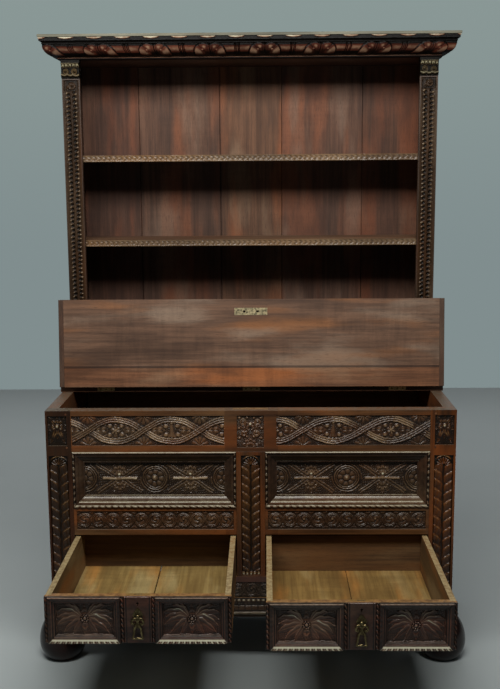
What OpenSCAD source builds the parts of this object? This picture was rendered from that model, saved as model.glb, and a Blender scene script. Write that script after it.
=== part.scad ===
// Mule chest bookcase: a framed and panelled oak chest with two drawers under a lidded well,
// and a shelved bookcase with a cornice that stands on the fixed rear part of the chest top.
// Millimetres. +X is to the right, +Y to the back and +Z up; the floor is Z = 0.
// Pieces are drawn with the face of the chest's front frame at Y = 0, and placed() then shifts
// them so that the origin lies under the centre of the whole, drawers drawn out as they stand.

/* [Chest frame] */
// Width over the corner stiles
chest_w = 1400; // [1300:10:1500]
// Depth from the front frame's face to the back of the back boards
chest_d = 620; // [605:5:680]
// Width of a front corner stile
stile_w = 87; // [80:1:100]
// Width of the centre muntin
muntin_w = 99; // [90:1:120]
// Thickness of the front frame's members and the rear stiles, front to back
frame_t = 45; // [40:1:50]
// Thickness of the side frames and the rear stiles, side to side
side_t = 40; // [34:1:50]
// Height of the base rail
base_rail_h = 145; // [135:1:165]
// Height of the drawer openings
drawer_open_h = 152.5; // [140:0.5:180]
// Height of the rails above the drawers
mid_rail_h = 98.5; // [90:0.5:120]
// Height of the panel openings
panel_open_h = 199; // [180:1:240]
// Height of the top rail
top_rail_h = 144; // [130:1:170]
// Height of the side frames' top rails
side_top_rail_h = 100; // [80:1:130]
// Thickness of the chest's back boards
back_t = 15; // [10:1:20]
// Number of back boards, one above the other
back_board_count = 4; // [3:1:6]

/* [Joinery] */
// Thickness of a tenon
tenon_t = 12; // [10:1:14]
// Length of the front rails' tenons
front_tenon_l = 32; // [24:1:38]
// Length of the tenons at the muntin and of those of the middle rails in it
muntin_tenon_l = 22; // [16:1:30]
// Length of the side rails' tenons
side_tenon_l = 20; // [14:1:24]
// Shoulder above and below each tenon
shoulder = 8; // [7.5:0.5:12]
// Depth of the grooves that hold the panels
groove_d = 5; // [4:0.5:6]
// Radius of the oak pegs
peg_r = 3.5; // [2.5:0.5:4]
// Distance of a side rail's pegs from its edges
peg_inset = 21; // [18:1:28]
// Play round a tenon, panel or spigot in its seat
seat_fit = 0.05; // [0.05:0.01:0.2]
// Open line between pieces that lie side by side
joint_gap = 0.3; // [0.2:0.1:1]

/* [Panels and carving] */
// Thickness of a front panel
panel_t = 12; // [10:1:14]
// Setback of a front panel's face from the frame's face
panel_setback = 18; // [14:1:20]
// Width of the moulding round a front panel
panel_mould_w = 41; // [30:1:50]
// Thickness of a side panel
side_panel_t = 10; // [8:1:12]
// Depth to which the carved grounds are sunk
carve_depth = 6; // [4:0.5:7]
// Width of the leaf bands on the stiles and the muntin
leaf_band_w = 66; // [50:1:72]
// Height of the carved ground on the top rail
strap_h = 104; // [90:1:115]
// Width and height of the top rail's centre block of carving
block_w = 92; // [80:1:96]
// Height of that centre block
block_h = 112; // [90:1:116]
// Plain wood between the block and the top rail's carved grounds beside it
block_margin = 43; // [30:1:60]
// Plain wood above the top rail's carving
strap_margin = 18; // [8:1:20]
// Height of the carved band on the rails above the drawers
roundel_band_h = 66; // [50:1:75]
// Height of the carved band on the base rail
base_band_h = 56; // [40:1:60]

/* [Base and feet] */
// Height of the base moulding
base_mould_h = 66; // [50:1:72]
// Projection of the base moulding
base_mould_out = 20; // [14:1:26]
// Projection of the pads beyond the frame
pad_lip = 10; // [4:1:13]
// Height of a foot's ball
foot_h = 150; // [120:1:180]
// Largest radius of a foot
foot_r = 83; // [70:1:90]
// Radius of the flat on which a foot stands
foot_flat_r = 56; // [40:1:65]
// Radius of a foot's spigot
spigot_r = 12; // [8:1:14]
// Length of the spigot above the pad
spigot_l = 40; // [25:1:60]
// Thickness of the pads between feet and frame
pad_t = 26; // [18:1:32]
// Width of a pad
pad_w = 112; // [100:1:130]
// Distance of the front feet's centres behind the front
foot_front_y = 62; // [60:1:90]
// Distance of the rear feet's centres in front of the back
foot_rear_y = 90; // [85:1:140]

/* [Chest well] */
// Thickness of the well's floor boards
floor_t = 12; // [9:1:18]
// Number of floor boards
floor_board_count = 5; // [4:1:7]
// Section of the ledgers that carry the floor
ledger = 20; // [15:1:25]
// Height of the ledgers above the drawer openings
ledger_rise = 1.5; // [1:0.5:6]

/* [Lid] */
// Thickness of the lid and the fixed rear top board
lid_t = 19; // [17:0.5:24]
// Distance of the hinge line behind the front
hinge_y = 307; // [290:1:315]
// Overhang of the closed lid over the front
lid_front_over = 15; // [8:1:25]
// Overhang of lid and top board at each side
lid_side_over = 6; // [2:1:15]
// Width of the lid's rear board, next to the hinges
lid_rear_board_w = 73; // [60:1:110]
// Width of the strips at the lid's ends
lid_strip_w = 18; // [12:1:30]
// Clearance under the closed lid, and behind the open lid where it leans on the pilasters
lid_clear = 0.3; // [0.2:0.1:1]

/* [Hinges] */
// Length of a butt hinge
hinge_l = 63; // [50:1:76]
// Distance of the outer hinges from the middle
hinge_x = 538; // [450:1:600]
// Radius of the hinge knuckle
knuckle_r = 4.5; // [4:0.25:5.5]
// Radius of the hinge pin
pin_r = 2; // [1.5:0.1:2.5]
// Running clearance of knuckles on the pin, radial
pin_clear = 0.05; // [0.03:0.01:0.1]
// Thickness of a hinge leaf
leaf_t = 1.8; // [1.4:0.1:2.2]
// Height of a hinge leaf below the pin
leaf_h = 16; // [14:0.5:16.5]
// Gap between the closed lid and the rear top board
hinge_gap = 1.2; // [1:0.1:2]
// Radius of a screw's shank
screw_r = 1.6; // [1.2:0.1:2]
// Length of a screw
screw_l = 18; // [12:1:25]

/* [Chest lock] */
// Width of the lock's top plate and of the lid's catch plate
lock_plate_w = 120; // [100:1:140]
// Depth of those plates, front to back
lock_plate_d = 26; // [22:1:28]
// Thickness of those plates
lock_plate_t = 2; // [1.5:0.1:3]
// Width of the lock case
lock_case_w = 84; // [76:1:96]
// Height of the lock case
lock_case_h = 82; // [76:1:100]
// Distance of its keyhole below the chest's top
lock_key_drop = 62; // [56:1:66]
// Thickness of the lock case
lock_case_t = 16; // [14:1:18]
// Distance between the two hooks of the bolt
hook_spacing = 49; // [40:1:54]
// Travel of the bolt
hook_travel = 11; // [8:0.5:12]

/* [Drawers] */
// How far the left drawer stands open
drawer_left_out = 500; // [0:5:540]
// How far the right drawer stands open
drawer_right_out = 545; // [0:5:550]
// Gap at each side of a drawer front
drawer_side_gap = 1.75; // [1:0.25:3]
// Gap above a drawer front
drawer_top_gap = 5.5; // [3:0.5:7]
// Thickness of a drawer front
drawer_front_t = 20; // [18:1:26]
// Thickness of a drawer's sides and back
drawer_side_t = 18; // [12:1:20]
// Thickness of a drawer's bottom boards
drawer_bottom_t = 9; // [7:1:12]
// Space between a closed drawer and the back boards
drawer_back_space = 15; // [10:1:30]
// How far the drawer back stands below the sides
drawer_back_drop = 7; // [0:1:20]
// Running clearance of the drawer on its runners
runner_clear = 0.3; // [0.2:0.1:0.5]
// Gap between a drawer side and its guide
guide_gap = 1; // [0.5:0.25:2]
// Thickness of the runners
runner_t = 22; // [15:1:30]
// Reach of a runner under the drawer
runner_w = 22; // [16:1:35]
// Height of the guides above the runners
guide_h = 22; // [12:1:40]

/* [Drawer fronts] */
// Width of the block in the middle of a drawer front
front_block_w = 84; // [74:1:110]
// Projection of that block
front_block_out = 6; // [4:0.5:9]
// Width of the nicked strips beside the panels
nick_strip_w = 10; // [6:1:14]
// Projection of the nicked strips
nick_strip_out = 9; // [5:0.5:12]
// Width of the mouldings round a drawer panel
drawer_mould_w = 22; // [16:1:28]
// Projection of those mouldings
drawer_mould_out = 14; // [8:0.5:18]

/* [Drawer locks and pulls] */
// Width of a drawer lock's case
drawer_lock_w = 60; // [45:1:68]
// Height of a drawer lock's case
drawer_lock_h = 42; // [36:1:60]
// Depth of a drawer lock's case in the front
drawer_lock_d = 12; // [11:0.5:14]
// Width of a drawer lock's top plate
selvedge_w = 72; // [68:1:80]
// Width of a drawer lock's bolt
bolt_w = 24; // [16:1:34]
// Travel of a drawer lock's bolt
bolt_travel = 10; // [8:0.5:12]
// Distance of the keyhole below a drawer's top edge
keyhole_drop = 21; // [16:1:28]
// Radius of the keyholes
keyhole_r = 2.8; // [2:0.1:3.5]
// Distance of the pull's rosette plate centre below a drawer's top edge
pull_drop = 53; // [50:1:64]
// Radius of the rosette plate
rosette_r = 16; // [12:1:18]
// Thickness of the rosette plate
rosette_t = 2; // [1.5:0.1:3]
// Distance of the pull's pivot in front of the rosette plate
pivot_out = 9; // [8:0.5:12]
// Length of the drop pull below its pivot
pull_l = 64; // [50:1:72]
// Width of the drop pull at its feet
pull_w = 15; // [10:1:20]
// Thickness of the drop pull
pull_t = 5; // [3:0.5:6]
// Radius of the knob at the pull's end
pull_knob_r = 5; // [4:0.5:6]

/* [Bookcase] */
// Width over the bookcase sides
case_w = 1334; // [1240:2:1380]
// Distance of the pilasters' face behind the chest front
case_front_y = 340; // [330:1:360]
// Height of the bookcase sides
case_h = 1246; // [1100:2:1400]
// Thickness of the bookcase sides
case_side_t = 22; // [16:1:28]
// Width of a pilaster
pilaster_w = 64; // [50:1:80]
// Thickness of a pilaster
pilaster_t = 22; // [16:1:30]
// Height of the plain block at the foot of a pilaster
plinth_h = 56; // [30:1:90]
// Height of a capital
capital_h = 62; // [45:1:80]
// Projection of a capital beyond its pilaster
capital_out = 8; // [4:1:14]
// Thickness of the shelves
shelf_t = 22; // [16:1:30]
// Height of the lower, hidden shelf's top above the chest top board
shelf_1_z = 232; // [180:1:280]
// Height of the middle shelf's top
shelf_2_z = 537; // [450:1:600]
// Height of the upper shelf's top
shelf_3_z = 842; // [750:1:900]
// Setback of the shelves behind the pilasters
shelf_setback = 2; // [0:1:20]
// Thickness of the bookcase's top and bottom boards
case_board_t = 20; // [15:1:25]
// Thickness of the bookcase's back boards
case_back_t = 12; // [8:1:16]
// Width of the middle back board
back_centre_w = 236; // [180:1:300]
// Width of the boards beside it
back_mid_w = 309; // [220:1:320]
// Gap between the back boards
back_gap = 1.5; // [0.5:0.5:4]

/* [Cornice] */
// Projection of the cornice beyond the pilasters and sides
cornice_out = 68; // [50:1:90]
// Height of the cornice mouldings
cornice_h = 72; // [60:1:90]
// Thickness of the cornice's top board
cornice_board_t = 9; // [6:1:14]

/* [Hidden] */
$fn = 48;

oak = "#5a3320";
dark_oak = "#40251a";
pale_wood = "#8a6f45";
brass = "#b08a45";
dark_brass = "#8a6a38";

// Height of the frame's parts above the floor
base_z = foot_h + pad_t;
drawer_z0 = base_z + base_rail_h;
drawer_z1 = drawer_z0 + drawer_open_h;
panel_z0 = drawer_z1 + mid_rail_h;
panel_z1 = panel_z0 + panel_open_h;
chest_top = panel_z1 + top_rail_h;
top_board_z = chest_top + lid_t;

// Edges of the openings, to the right of the middle
half_w = chest_w / 2;
open_x0 = muntin_w / 2;
open_x1 = half_w - stile_w;
open_cx = (open_x0 + open_x1) / 2;
side_in_x = half_w - side_t;
back_y = chest_d - back_t;
floor_z = drawer_z1 + ledger_rise + ledger;
rear_stile_y = back_y - frame_t;

// Tenons lie in one plane of the front frame, behind the carving and across the panel groove
tenon_y = [panel_setback - 2, panel_setback - 2 + tenon_t];
side_tenon_x = [half_w - side_t / 2 - side_panel_t / 2, half_w - side_t / 2 + side_panel_t / 2];

// Side frames: the heights of the three rails on each side
side_rail_z = [
  [base_z, drawer_z0], [drawer_z1, panel_z0], [chest_top - side_top_rail_h, chest_top]
];

// Carved grounds: the leaf bands stop short of the rails' grounds
strap_z = [chest_top - strap_margin - strap_h, chest_top - strap_margin];
leaf_z1 = panel_z1 - 14;
stile_leaf_z0 = base_z + base_mould_h + 4;
muntin_leaf_z0 = drawer_z0 + 5;
base_band_z = [drawer_z0 - 22 - base_band_h, drawer_z0 - 22];
strap_x0 = block_w / 2 + block_margin;
band_inset = 10;
roundel_z0 = drawer_z1 + (mid_rail_h - roundel_band_h) * 0.6;
field_x = [open_x0 + panel_mould_w, open_x1 - panel_mould_w];
field_z = [panel_z0 + panel_mould_w, panel_z1 - panel_mould_w];

// Feet
foot_x = half_w - side_t / 2;
foot_ys = [foot_front_y, chest_d - foot_rear_y];

// Pegs at the side rails' tenons and at the top rail's tenons
peg_l = 34;
peg_proud = 1;
side_peg_zs = [for (z = side_rail_z, end = [0, 1]) end == 0
  ? max(z[0] + peg_inset, base_z + base_mould_h + 2 * peg_r) : z[1] - peg_inset];
side_peg_ys = [frame_t - side_tenon_l / 2, rear_stile_y + side_tenon_l / 2];
top_peg_x = open_x1 + front_tenon_l / 2;
top_peg_zs = [panel_z1 + shoulder + 7, chest_top - shoulder - 4];

// Lid: closed, its underside clears the frame; open, it leans back on the pilasters
pin_z = top_board_z + lid_clear;
lid_l = hinge_y + lid_front_over;
lean = asin((case_front_y - lid_clear - hinge_y) / lid_l);
top_half_w = half_w + lid_side_over;
hinge_xs = [-hinge_x, 0, hinge_x];
knuckle_count = 5;
knuckle_l = hinge_l / knuckle_count;
knuckle_recess_r = knuckle_r + 0.6;
leaf_screw_z = pin_z - leaf_h * 0.6;

// Chest lock
lock_y = 30;
hook_w = 7;
hook_t = 5;
hook_l = 41.5;
hook_drop = 0.5;
hook_bar_h = 10;
lock_slot_play = 0.4;

// Drawers, drawn closed about their own middle
drawer_w = open_x1 - open_x0 - 2 * drawer_side_gap;
drawer_front_z = [drawer_z0 + runner_clear, drawer_z1 - drawer_top_gap];
drawer_l = back_y - drawer_back_space;
box_half_w = drawer_w / 2 - drawer_side_gap;
front_lap = drawer_front_t / 2;
drawer_side_z0 = drawer_front_z[0] + drawer_bottom_t;
drawer_panel_w = (drawer_w - front_block_w - 4 * nick_strip_w) / 2;
drawer_panel_x = front_block_w / 2 + nick_strip_w;
bolt_t = 5;
bolt_h = 30;
bolt_play = 0.3;
bolt_drop = 0.3;
drawer_lock_y = [drawer_front_t - drawer_lock_d, drawer_front_t];
bolt_y = (drawer_lock_y[0] + drawer_lock_y[1]) / 2;
selvedge_t = 2;
pivot_y = -front_block_out - rosette_t - pivot_out;
pivot_z = drawer_front_z[1] - pull_drop - 4;
pivot_pin_r = 1.6;
pivot_eye_r = 4;
pivot_eye_l = 5;
ear_t = 3;
ear_gap = 0.35;

// Bookcase
case_half = case_w / 2;
case_side_y = case_front_y + pilaster_t;
case_back_y = chest_d - case_back_t;
case_in_x = case_half - case_side_t;
cornice_z = top_board_z + case_h - cornice_h;
cornice_top_z = top_board_z + case_h;
capital_z = cornice_z - capital_h;

// The pull's knob is the foremost point, the back boards the rearmost
reach = max(drawer_left_out, drawer_right_out) - pivot_y + pull_knob_r;
front_y = (reach - chest_d) / 2;

// A box given by its ranges along X, Y and Z
module block(x, y, z)
  translate([x[0], y[0], z[0]]) cube([x[1] - x[0], y[1] - y[0], z[1] - z[0]]);

// Moves what is drawn about the front frame's face to the part's own frame
module placed() translate([0, front_y, 0]) children();

// The piece and its mirror image on the left
module both() {
  children();
  mirror([1, 0, 0]) children();
}

// Swings what is drawn on the closed lid up to where it leans on the bookcase
module lid_open()
  translate([0, hinge_y, pin_z]) rotate([-(90 + lean), 0, 0]) translate([0, -hinge_y, -pin_z])
    children();

// Moves what is drawn about a closed drawer's middle to the drawer on one side, drawn out
module drawer_place(side)
  translate([side * open_cx, side < 0 ? -drawer_left_out : -drawer_right_out, 0]) children();

// A range widened by a margin at both ends
function wider(r, m) = [r[0] - m, r[1] + m];

// Points of an arc about [x, y] from angle a0 to a1
function arc(x, y, r, a0, a1, n = 8) =
  [for (i = [0:n]) let (a = a0 + (a1 - a0) * i / n) [x + r * cos(a), y + r * sin(a)]];

// Points of an S-shaped slope from p to q, level at both ends
function ogee(p, q, n = 8) =
  [for (i = [0:n]) let (t = i / n) [
    p[0] + (q[0] - p[0]) * t, p[1] + (q[1] - p[1]) * (3 * t * t - 2 * t * t * t)
  ]];

// Side rails' tenons in one stile: y is where they start and end
module side_tenons(y, play = 0)
  for (z = side_rail_z)
    block(wider(side_tenon_x, play), y, wider([z[0] + shoulder, z[1] - shoulder], play));

// Tenon of a front rail: x is its range, z the rail's
module front_tenon(x, z, play = 0)
  block(x, wider(tenon_y, play), wider([z[0] + shoulder, z[1] - shoulder], play));

// Tenons of the muntin in the top and base rails
module muntin_tenons(play = 0)
  for (z = [[drawer_z0 - muntin_tenon_l, drawer_z0 + 1], [panel_z1 - 1, panel_z1 + muntin_tenon_l]])
    block(wider([shoulder - open_x0, open_x0 - shoulder], play), wider(tenon_y, play),
      wider(z, play));

// Space of one side's front panel, with its edges in the grooves
module front_panel_blank(play = 0)
  block(wider([open_x0 - groove_d, open_x1 + groove_d], play),
    [panel_setback, panel_setback + panel_t + play],
    wider([panel_z0 - groove_d, panel_z1 + groove_d], play));

// Space of one side frame's panels, with their edges in the grooves
module side_panel_blanks(play = 0)
  for (i = [0, 1])
    block(wider(side_tenon_x, play), wider([frame_t - groove_d, rear_stile_y + groove_d], play),
      wider([side_rail_z[i][1] - groove_d, side_rail_z[i + 1][0] + groove_d], play));

// Pegs of the right-hand side frame, driven in from the side, and the top rail's from the front
module pegs() {
  for (y = side_peg_ys, z = side_peg_zs)
    translate([half_w + peg_proud - peg_l, y, z]) rotate([0, 90, 0]) cylinder(r = peg_r, h = peg_l);
  for (z = top_peg_zs)
    translate([top_peg_x, peg_l - peg_proud, z]) rotate([90, 0, 0]) cylinder(r = peg_r, h = peg_l);
}

// Sunk ground for carving on the front frame's face
module ground(x, z) block(x, [-1, carve_depth], z);

module front_stiles() color(oak) both() difference() {
  block([open_x1, half_w], [0, frame_t], [base_z, chest_top]);
  ground([half_w - 7 - leaf_band_w, half_w - 7], strap_z);
  ground([half_w - 7 - leaf_band_w, half_w - 7], [stile_leaf_z0, leaf_z1]);
  front_tenon([open_x1 - 1, open_x1 + front_tenon_l + seat_fit], [base_z, drawer_z0], seat_fit);
  front_tenon([open_x1 - 1, open_x1 + front_tenon_l + seat_fit], [drawer_z1, panel_z0], seat_fit);
  front_tenon([open_x1 - 1, open_x1 + front_tenon_l + seat_fit], [panel_z1, chest_top], seat_fit);
  side_tenons([frame_t - side_tenon_l - seat_fit, frame_t + 1], seat_fit);
  front_panel_blank(seat_fit);
  side_panel_blanks(seat_fit);
  pegs();
}

module rear_stiles() color(oak) both() difference() {
  block([side_in_x, half_w], [rear_stile_y, back_y], [base_z, chest_top]);
  side_tenons([rear_stile_y - 1, rear_stile_y + side_tenon_l + seat_fit], seat_fit);
  side_panel_blanks(seat_fit);
  pegs();
}

module front_top_rail() color(oak) difference() {
  union() {
    block([-open_x1, open_x1], [0, frame_t], [panel_z1, chest_top]);
    both() front_tenon([open_x1 - 1, open_x1 + front_tenon_l], [panel_z1, chest_top]);
  }
  both() ground([strap_x0, open_x1 - 2], strap_z);
  ground([-block_w / 2, block_w / 2], [strap_z[1] - block_h, strap_z[1]]);
  both() front_panel_blank(seat_fit);
  both() pegs();
  muntin_tenons(seat_fit);
  lock_space(seat_fit);
  translate([0, lock_y, chest_top - lock_key_drop]) key_hole(lock_y + 1);
}

module front_mid_rails() color(oak) both() difference() {
  union() {
    block([open_x0, open_x1], [0, frame_t], [drawer_z1, panel_z0]);
    front_tenon([open_x0 - muntin_tenon_l, open_x1 + front_tenon_l], [drawer_z1, panel_z0]);
  }
  ground([open_x0 + band_inset, open_x1 - band_inset], [roundel_z0, roundel_z0 + roundel_band_h]);
  front_panel_blank(seat_fit);
  block(wider([open_cx - bolt_w / 2, open_cx + bolt_w / 2], 1), wider([bolt_y - bolt_t / 2,
    bolt_y + bolt_t / 2], 1), [drawer_z1 - 1, drawer_z1 + bolt_travel]);
}

module front_base_rail() color(oak) difference() {
  union() {
    block([-open_x1, open_x1], [0, frame_t], [base_z, drawer_z0]);
    both() front_tenon([open_x1 - 1, open_x1 + front_tenon_l], [base_z, drawer_z0]);
  }
  ground([-open_x1 + band_inset, open_x1 - band_inset], base_band_z);
  muntin_tenons(seat_fit);
}

module front_muntin() color(oak) difference() {
  union() {
    block([-open_x0, open_x0], [0, frame_t], [drawer_z0, panel_z1]);
    muntin_tenons();
  }
  ground([-leaf_band_w / 2, leaf_band_w / 2], [muntin_leaf_z0, leaf_z1]);
  both() front_tenon([open_x0 - muntin_tenon_l - seat_fit, open_x0 + 1], [drawer_z1, panel_z0],
    seat_fit);
  both() front_panel_blank(seat_fit);
}

module front_panels() color(dark_oak) both() difference() {
  front_panel_blank();
  block(field_x, [panel_setback - 1, panel_setback + carve_depth - 1], field_z);
}

// Cross-section of the panel moulding: distance in from the opening's edge, and Y
function panel_profile() = concat(
  [[joint_gap, panel_setback], [joint_gap, 1], [8, 1], [8, -2], [13, -2], [14, 0]],
  ogee([15, 0], [panel_mould_w - 4, panel_setback - 6]),
  [[panel_mould_w, panel_setback - 6], [panel_mould_w, panel_setback]]);

// Four mitred sticks round the opening x by z, of a cross-section given as [inward, Y] points
module mitred_frame(x, z, member, profile) {
  w = x[1] - x[0];
  h = z[1] - z[0];
  // Length of the mitre's cutter, well past both faces of a stick
  through = 2 * (frame_t + member);
  // One stick along the lower edge, cut at both mitres
  module stick(l) intersection() {
    rotate([90, 0, 90]) linear_extrude(l) polygon([for (p = profile) [p[1], p[0]]]);
    translate([0, through / 2, 0]) rotate([90, 0, 0]) linear_extrude(through)
      polygon([[joint_gap, 0], [l - joint_gap, 0], [l - member - joint_gap, member],
        [member + joint_gap, member]]);
  }
  translate([x[0], 0, z[0]]) stick(w);
  translate([x[1], 0, z[1]]) rotate([0, 180, 0]) stick(w);
  translate([x[0], 0, z[1]]) rotate([0, 90, 0]) stick(h);
  translate([x[1], 0, z[0]]) rotate([0, -90, 0]) stick(h);
}

module panel_mouldings() color(oak) both()
  mitred_frame([open_x0, open_x1], [panel_z0, panel_z1], panel_mould_w, panel_profile());

// The three rails of the right-hand side frame
module side_frame_rails() difference() {
  union() {
    for (z = side_rail_z)
      block([side_in_x, half_w], [frame_t, rear_stile_y], z);
    side_tenons([frame_t - side_tenon_l, rear_stile_y + side_tenon_l]);
  }
  side_panel_blanks(seat_fit);
  pegs();
  for (y = foot_ys)
    translate([foot_x, y, base_z - 1]) cylinder(r = spigot_r + seat_fit, h = spigot_l + 2);
}

module side_rails() color(oak) both() side_frame_rails();

module side_panels() color(dark_oak) both() side_panel_blanks();

module chest_back_boards() color(dark_oak) {
  h = (chest_top - base_z) / back_board_count;
  for (i = [0:back_board_count - 1])
    block([-half_w, half_w], [back_y, chest_d], [base_z + i * h + (i > 0 ? joint_gap : 0),
      base_z + (i + 1) * h]);
}

module well_floor_boards() color(dark_oak) {
  w = 2 * (side_in_x - joint_gap) / floor_board_count;
  for (i = [0:floor_board_count - 1])
    block([joint_gap - side_in_x + i * w + (i > 0 ? joint_gap : 0),
      joint_gap - side_in_x + (i + 1) * w], [frame_t + joint_gap, back_y - joint_gap],
      [floor_z, floor_z + floor_t]);
}

module well_floor_ledgers() color(dark_oak)
  for (y = [[frame_t, frame_t + ledger], [back_y - ledger, back_y]])
    block([joint_gap - side_in_x, side_in_x - joint_gap], y, [floor_z - ledger, floor_z]);

module drawer_runners() color(pale_wood) {
  both() block([open_x1 - runner_w, side_in_x - joint_gap], [frame_t, back_y],
    [drawer_z0 - runner_t, drawer_z0]);
  block([-open_x0 - runner_w, open_x0 + runner_w], [frame_t, back_y],
    [drawer_z0 - runner_t, drawer_z0]);
}

module drawer_guides() color(pale_wood) {
  both() block([open_cx + box_half_w + guide_gap, side_in_x - joint_gap],
    [frame_t, back_y], [drawer_z0, drawer_z0 + guide_h]);
  half = open_cx - box_half_w - guide_gap;
  block([-half, half], [frame_t, back_y], [drawer_z0, drawer_z0 + guide_h]);
}

// One pad under a corner of the frame, with rounded outer edges
module pad(y) difference() {
  x = [half_w + pad_lip - pad_w, half_w + pad_lip];
  ys = y < chest_d / 2 ? [-pad_lip, pad_w - pad_lip] : [y - pad_w / 2, y + pad_w / 2];
  union() {
    block([x[0], x[1] - pad_t / 4], [ys[0] + pad_t / 4, ys[1] - pad_t / 4], [foot_h, base_z]);
    block(x, ys, [foot_h + pad_t / 4, base_z - pad_t / 4]);
  }
  translate([foot_x, y, foot_h - 1]) cylinder(r = spigot_r + seat_fit, h = pad_t + 2);
}

module foot_pads() color(dark_oak) both() for (y = foot_ys) pad(y);

// Radius of a foot at height z: two quarter ellipses that meet at its widest point
foot_wide_z = foot_h * 0.42;
function foot_profile_r(z) = let (
    end_r = z < foot_wide_z ? foot_flat_r : foot_r * 0.62,
    far = z < foot_wide_z ? foot_wide_z : foot_h - foot_wide_z
  ) foot_r * sqrt(1 - (1 - pow(end_r / foot_r, 2)) * pow((z - foot_wide_z) / far, 2));

module bun_feet() color(dark_oak) both() for (y = foot_ys)
  translate([foot_x, y, 0]) rotate_extrude($fn = 64) polygon(concat(
    [[0, 0]],
    [for (i = [0:18]) [foot_profile_r(foot_h * i / 18), foot_h * i / 18]],
    [[spigot_r, foot_h], [spigot_r, base_z + spigot_l], [0, base_z + spigot_l]]));

// Cross-section of the base moulding: distance out, and height from its foot
function base_profile() = concat(
  [[0, 0], [base_mould_out - 8, 0]],
  arc(base_mould_out - 8, 4.5, 4, -80, 80),
  [[base_mould_out - 8, 9]],
  arc(base_mould_out - 6, 16, 6, -90, 90),
  [[base_mould_out - 7, 22.5]],
  ogee([base_mould_out - 7, 24], [1, base_mould_h - 1]),
  [[0, base_mould_h - 1]]);

// A moulding that goes round the front and both sides of a box, mitred at the front corners:
// its cross-section is [out, up], x is the box's half width, y its front and back
module mitred_surround(profile, x, y, z) {
  far = 200;
  translate([0, y[0], z]) intersection() {
    translate([-x - far, 0, 0]) rotate([90, 0, 90]) linear_extrude(2 * x + 2 * far)
      polygon([for (p = profile) [-p[0], p[1]]]);
    translate([0, 0, -1]) linear_extrude(far)
      polygon([[joint_gap - x, 0], [x - joint_gap, 0], [x + far - joint_gap, -far],
        [joint_gap - x - far, -far]]);
  }
  both() translate([x, y[0], z]) intersection() {
    translate([0, y[1] - y[0], 0]) rotate([90, 0, 0]) linear_extrude(y[1] - y[0] + far)
      polygon(profile);
    translate([0, 0, -1]) linear_extrude(far)
      polygon([[0, 0], [far, -far], [far, y[1] - y[0]], [0, y[1] - y[0]]]);
  }
}

module base_moulding() color(oak)
  mitred_surround(base_profile(), half_w, [0, chest_d], base_z);

module joint_pegs() color(pale_wood) both() pegs();

module rear_top_board() color(oak) difference() {
  block([-top_half_w, top_half_w], [hinge_y + hinge_gap / 2, chest_d], [chest_top, top_board_z]);
  hinge_recesses(1);
}

// Space that the hinges take from a board: side is 1 behind the pin and -1 in front of it
module hinge_recesses(side) for (x = hinge_xs) {
  translate([x - hinge_l / 2 - joint_gap, hinge_y, pin_z]) rotate([0, 90, 0])
    cylinder(r = knuckle_recess_r, h = hinge_l + 2 * joint_gap);
  leaf_block(x, side, joint_gap);
  for (dx = [-1, 0, 1])
    leaf_screw(x, dx, side, seat_fit);
}

// The plate of one leaf, behind or in front of the pin
module leaf_block(x, side, play = 0) {
  y0 = hinge_y + side * hinge_gap / 2;
  y1 = y0 + side * leaf_t;
  block([x - hinge_l / 2 - play, x + hinge_l / 2 + play], [min(y0, y1), max(y0, y1)],
    [pin_z - leaf_h - play, pin_z]);
}

// One of three screws of a leaf, with its cone head in the leaf's face
module leaf_screw(x, place, side, play = 0)
  translate([x + place * hinge_l * 0.32, hinge_y + side * hinge_gap / 2, leaf_screw_z])
    rotate([-90 * side, 0, 0]) {
      cylinder(r1 = 2.2 * screw_r + play, r2 = screw_r + play, h = leaf_t);
      cylinder(r = screw_r + play, h = screw_l + play);
    }

// One leaf with its knuckles: the fixed leaf has the odd ones
module hinge_leaf(x, side) difference() {
  union() {
    leaf_block(x, side);
    for (k = [0:knuckle_count - 1])
      if ((k % 2 == 0) == (side > 0))
        translate([x - hinge_l / 2 + k * knuckle_l + joint_gap / 2, hinge_y, pin_z]) rotate([0, 90, 0])
          cylinder(r = knuckle_r, h = knuckle_l - joint_gap);
  }
  for (k = [0:knuckle_count - 1])
    if ((k % 2 == 0) != (side > 0))
      translate([x - hinge_l / 2 + k * knuckle_l - joint_gap / 2, hinge_y, pin_z]) rotate([0, 90, 0])
        cylinder(r = knuckle_recess_r, h = knuckle_l + joint_gap);
  translate([x - hinge_l / 2 - 1, hinge_y, pin_z]) rotate([0, 90, 0])
    cylinder(r = pin_r + pin_clear, h = hinge_l + 2);
  for (place = [-1, 0, 1])
    leaf_screw(x, place, side, seat_fit);
}

module hinge_leaves_fixed() color(dark_brass) for (x = hinge_xs) hinge_leaf(x, 1);
module hinge_leaves_lid() color(dark_brass) lid_open() for (x = hinge_xs) hinge_leaf(x, -1);
module hinge_pins() color(dark_brass) for (x = hinge_xs)
  translate([x - hinge_l / 2, hinge_y, pin_z]) rotate([0, 90, 0]) cylinder(r = pin_r, h = hinge_l);
module hinge_screws_fixed() color(brass)
  for (x = hinge_xs, place = [-1, 0, 1]) leaf_screw(x, place, 1);

// Space of the lid, closed, before anything is let into it
module lid_blank(x, y) block(x, y, [chest_top + lid_clear, pin_z]);

// Ranges of the lid along Y: its front edge, the joint between its boards, and its rear edge
lid_front_edge = -lid_front_over;
lid_rear_edge = hinge_y - hinge_gap / 2;
lid_joint_y = lid_rear_edge - lid_rear_board_w;

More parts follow.
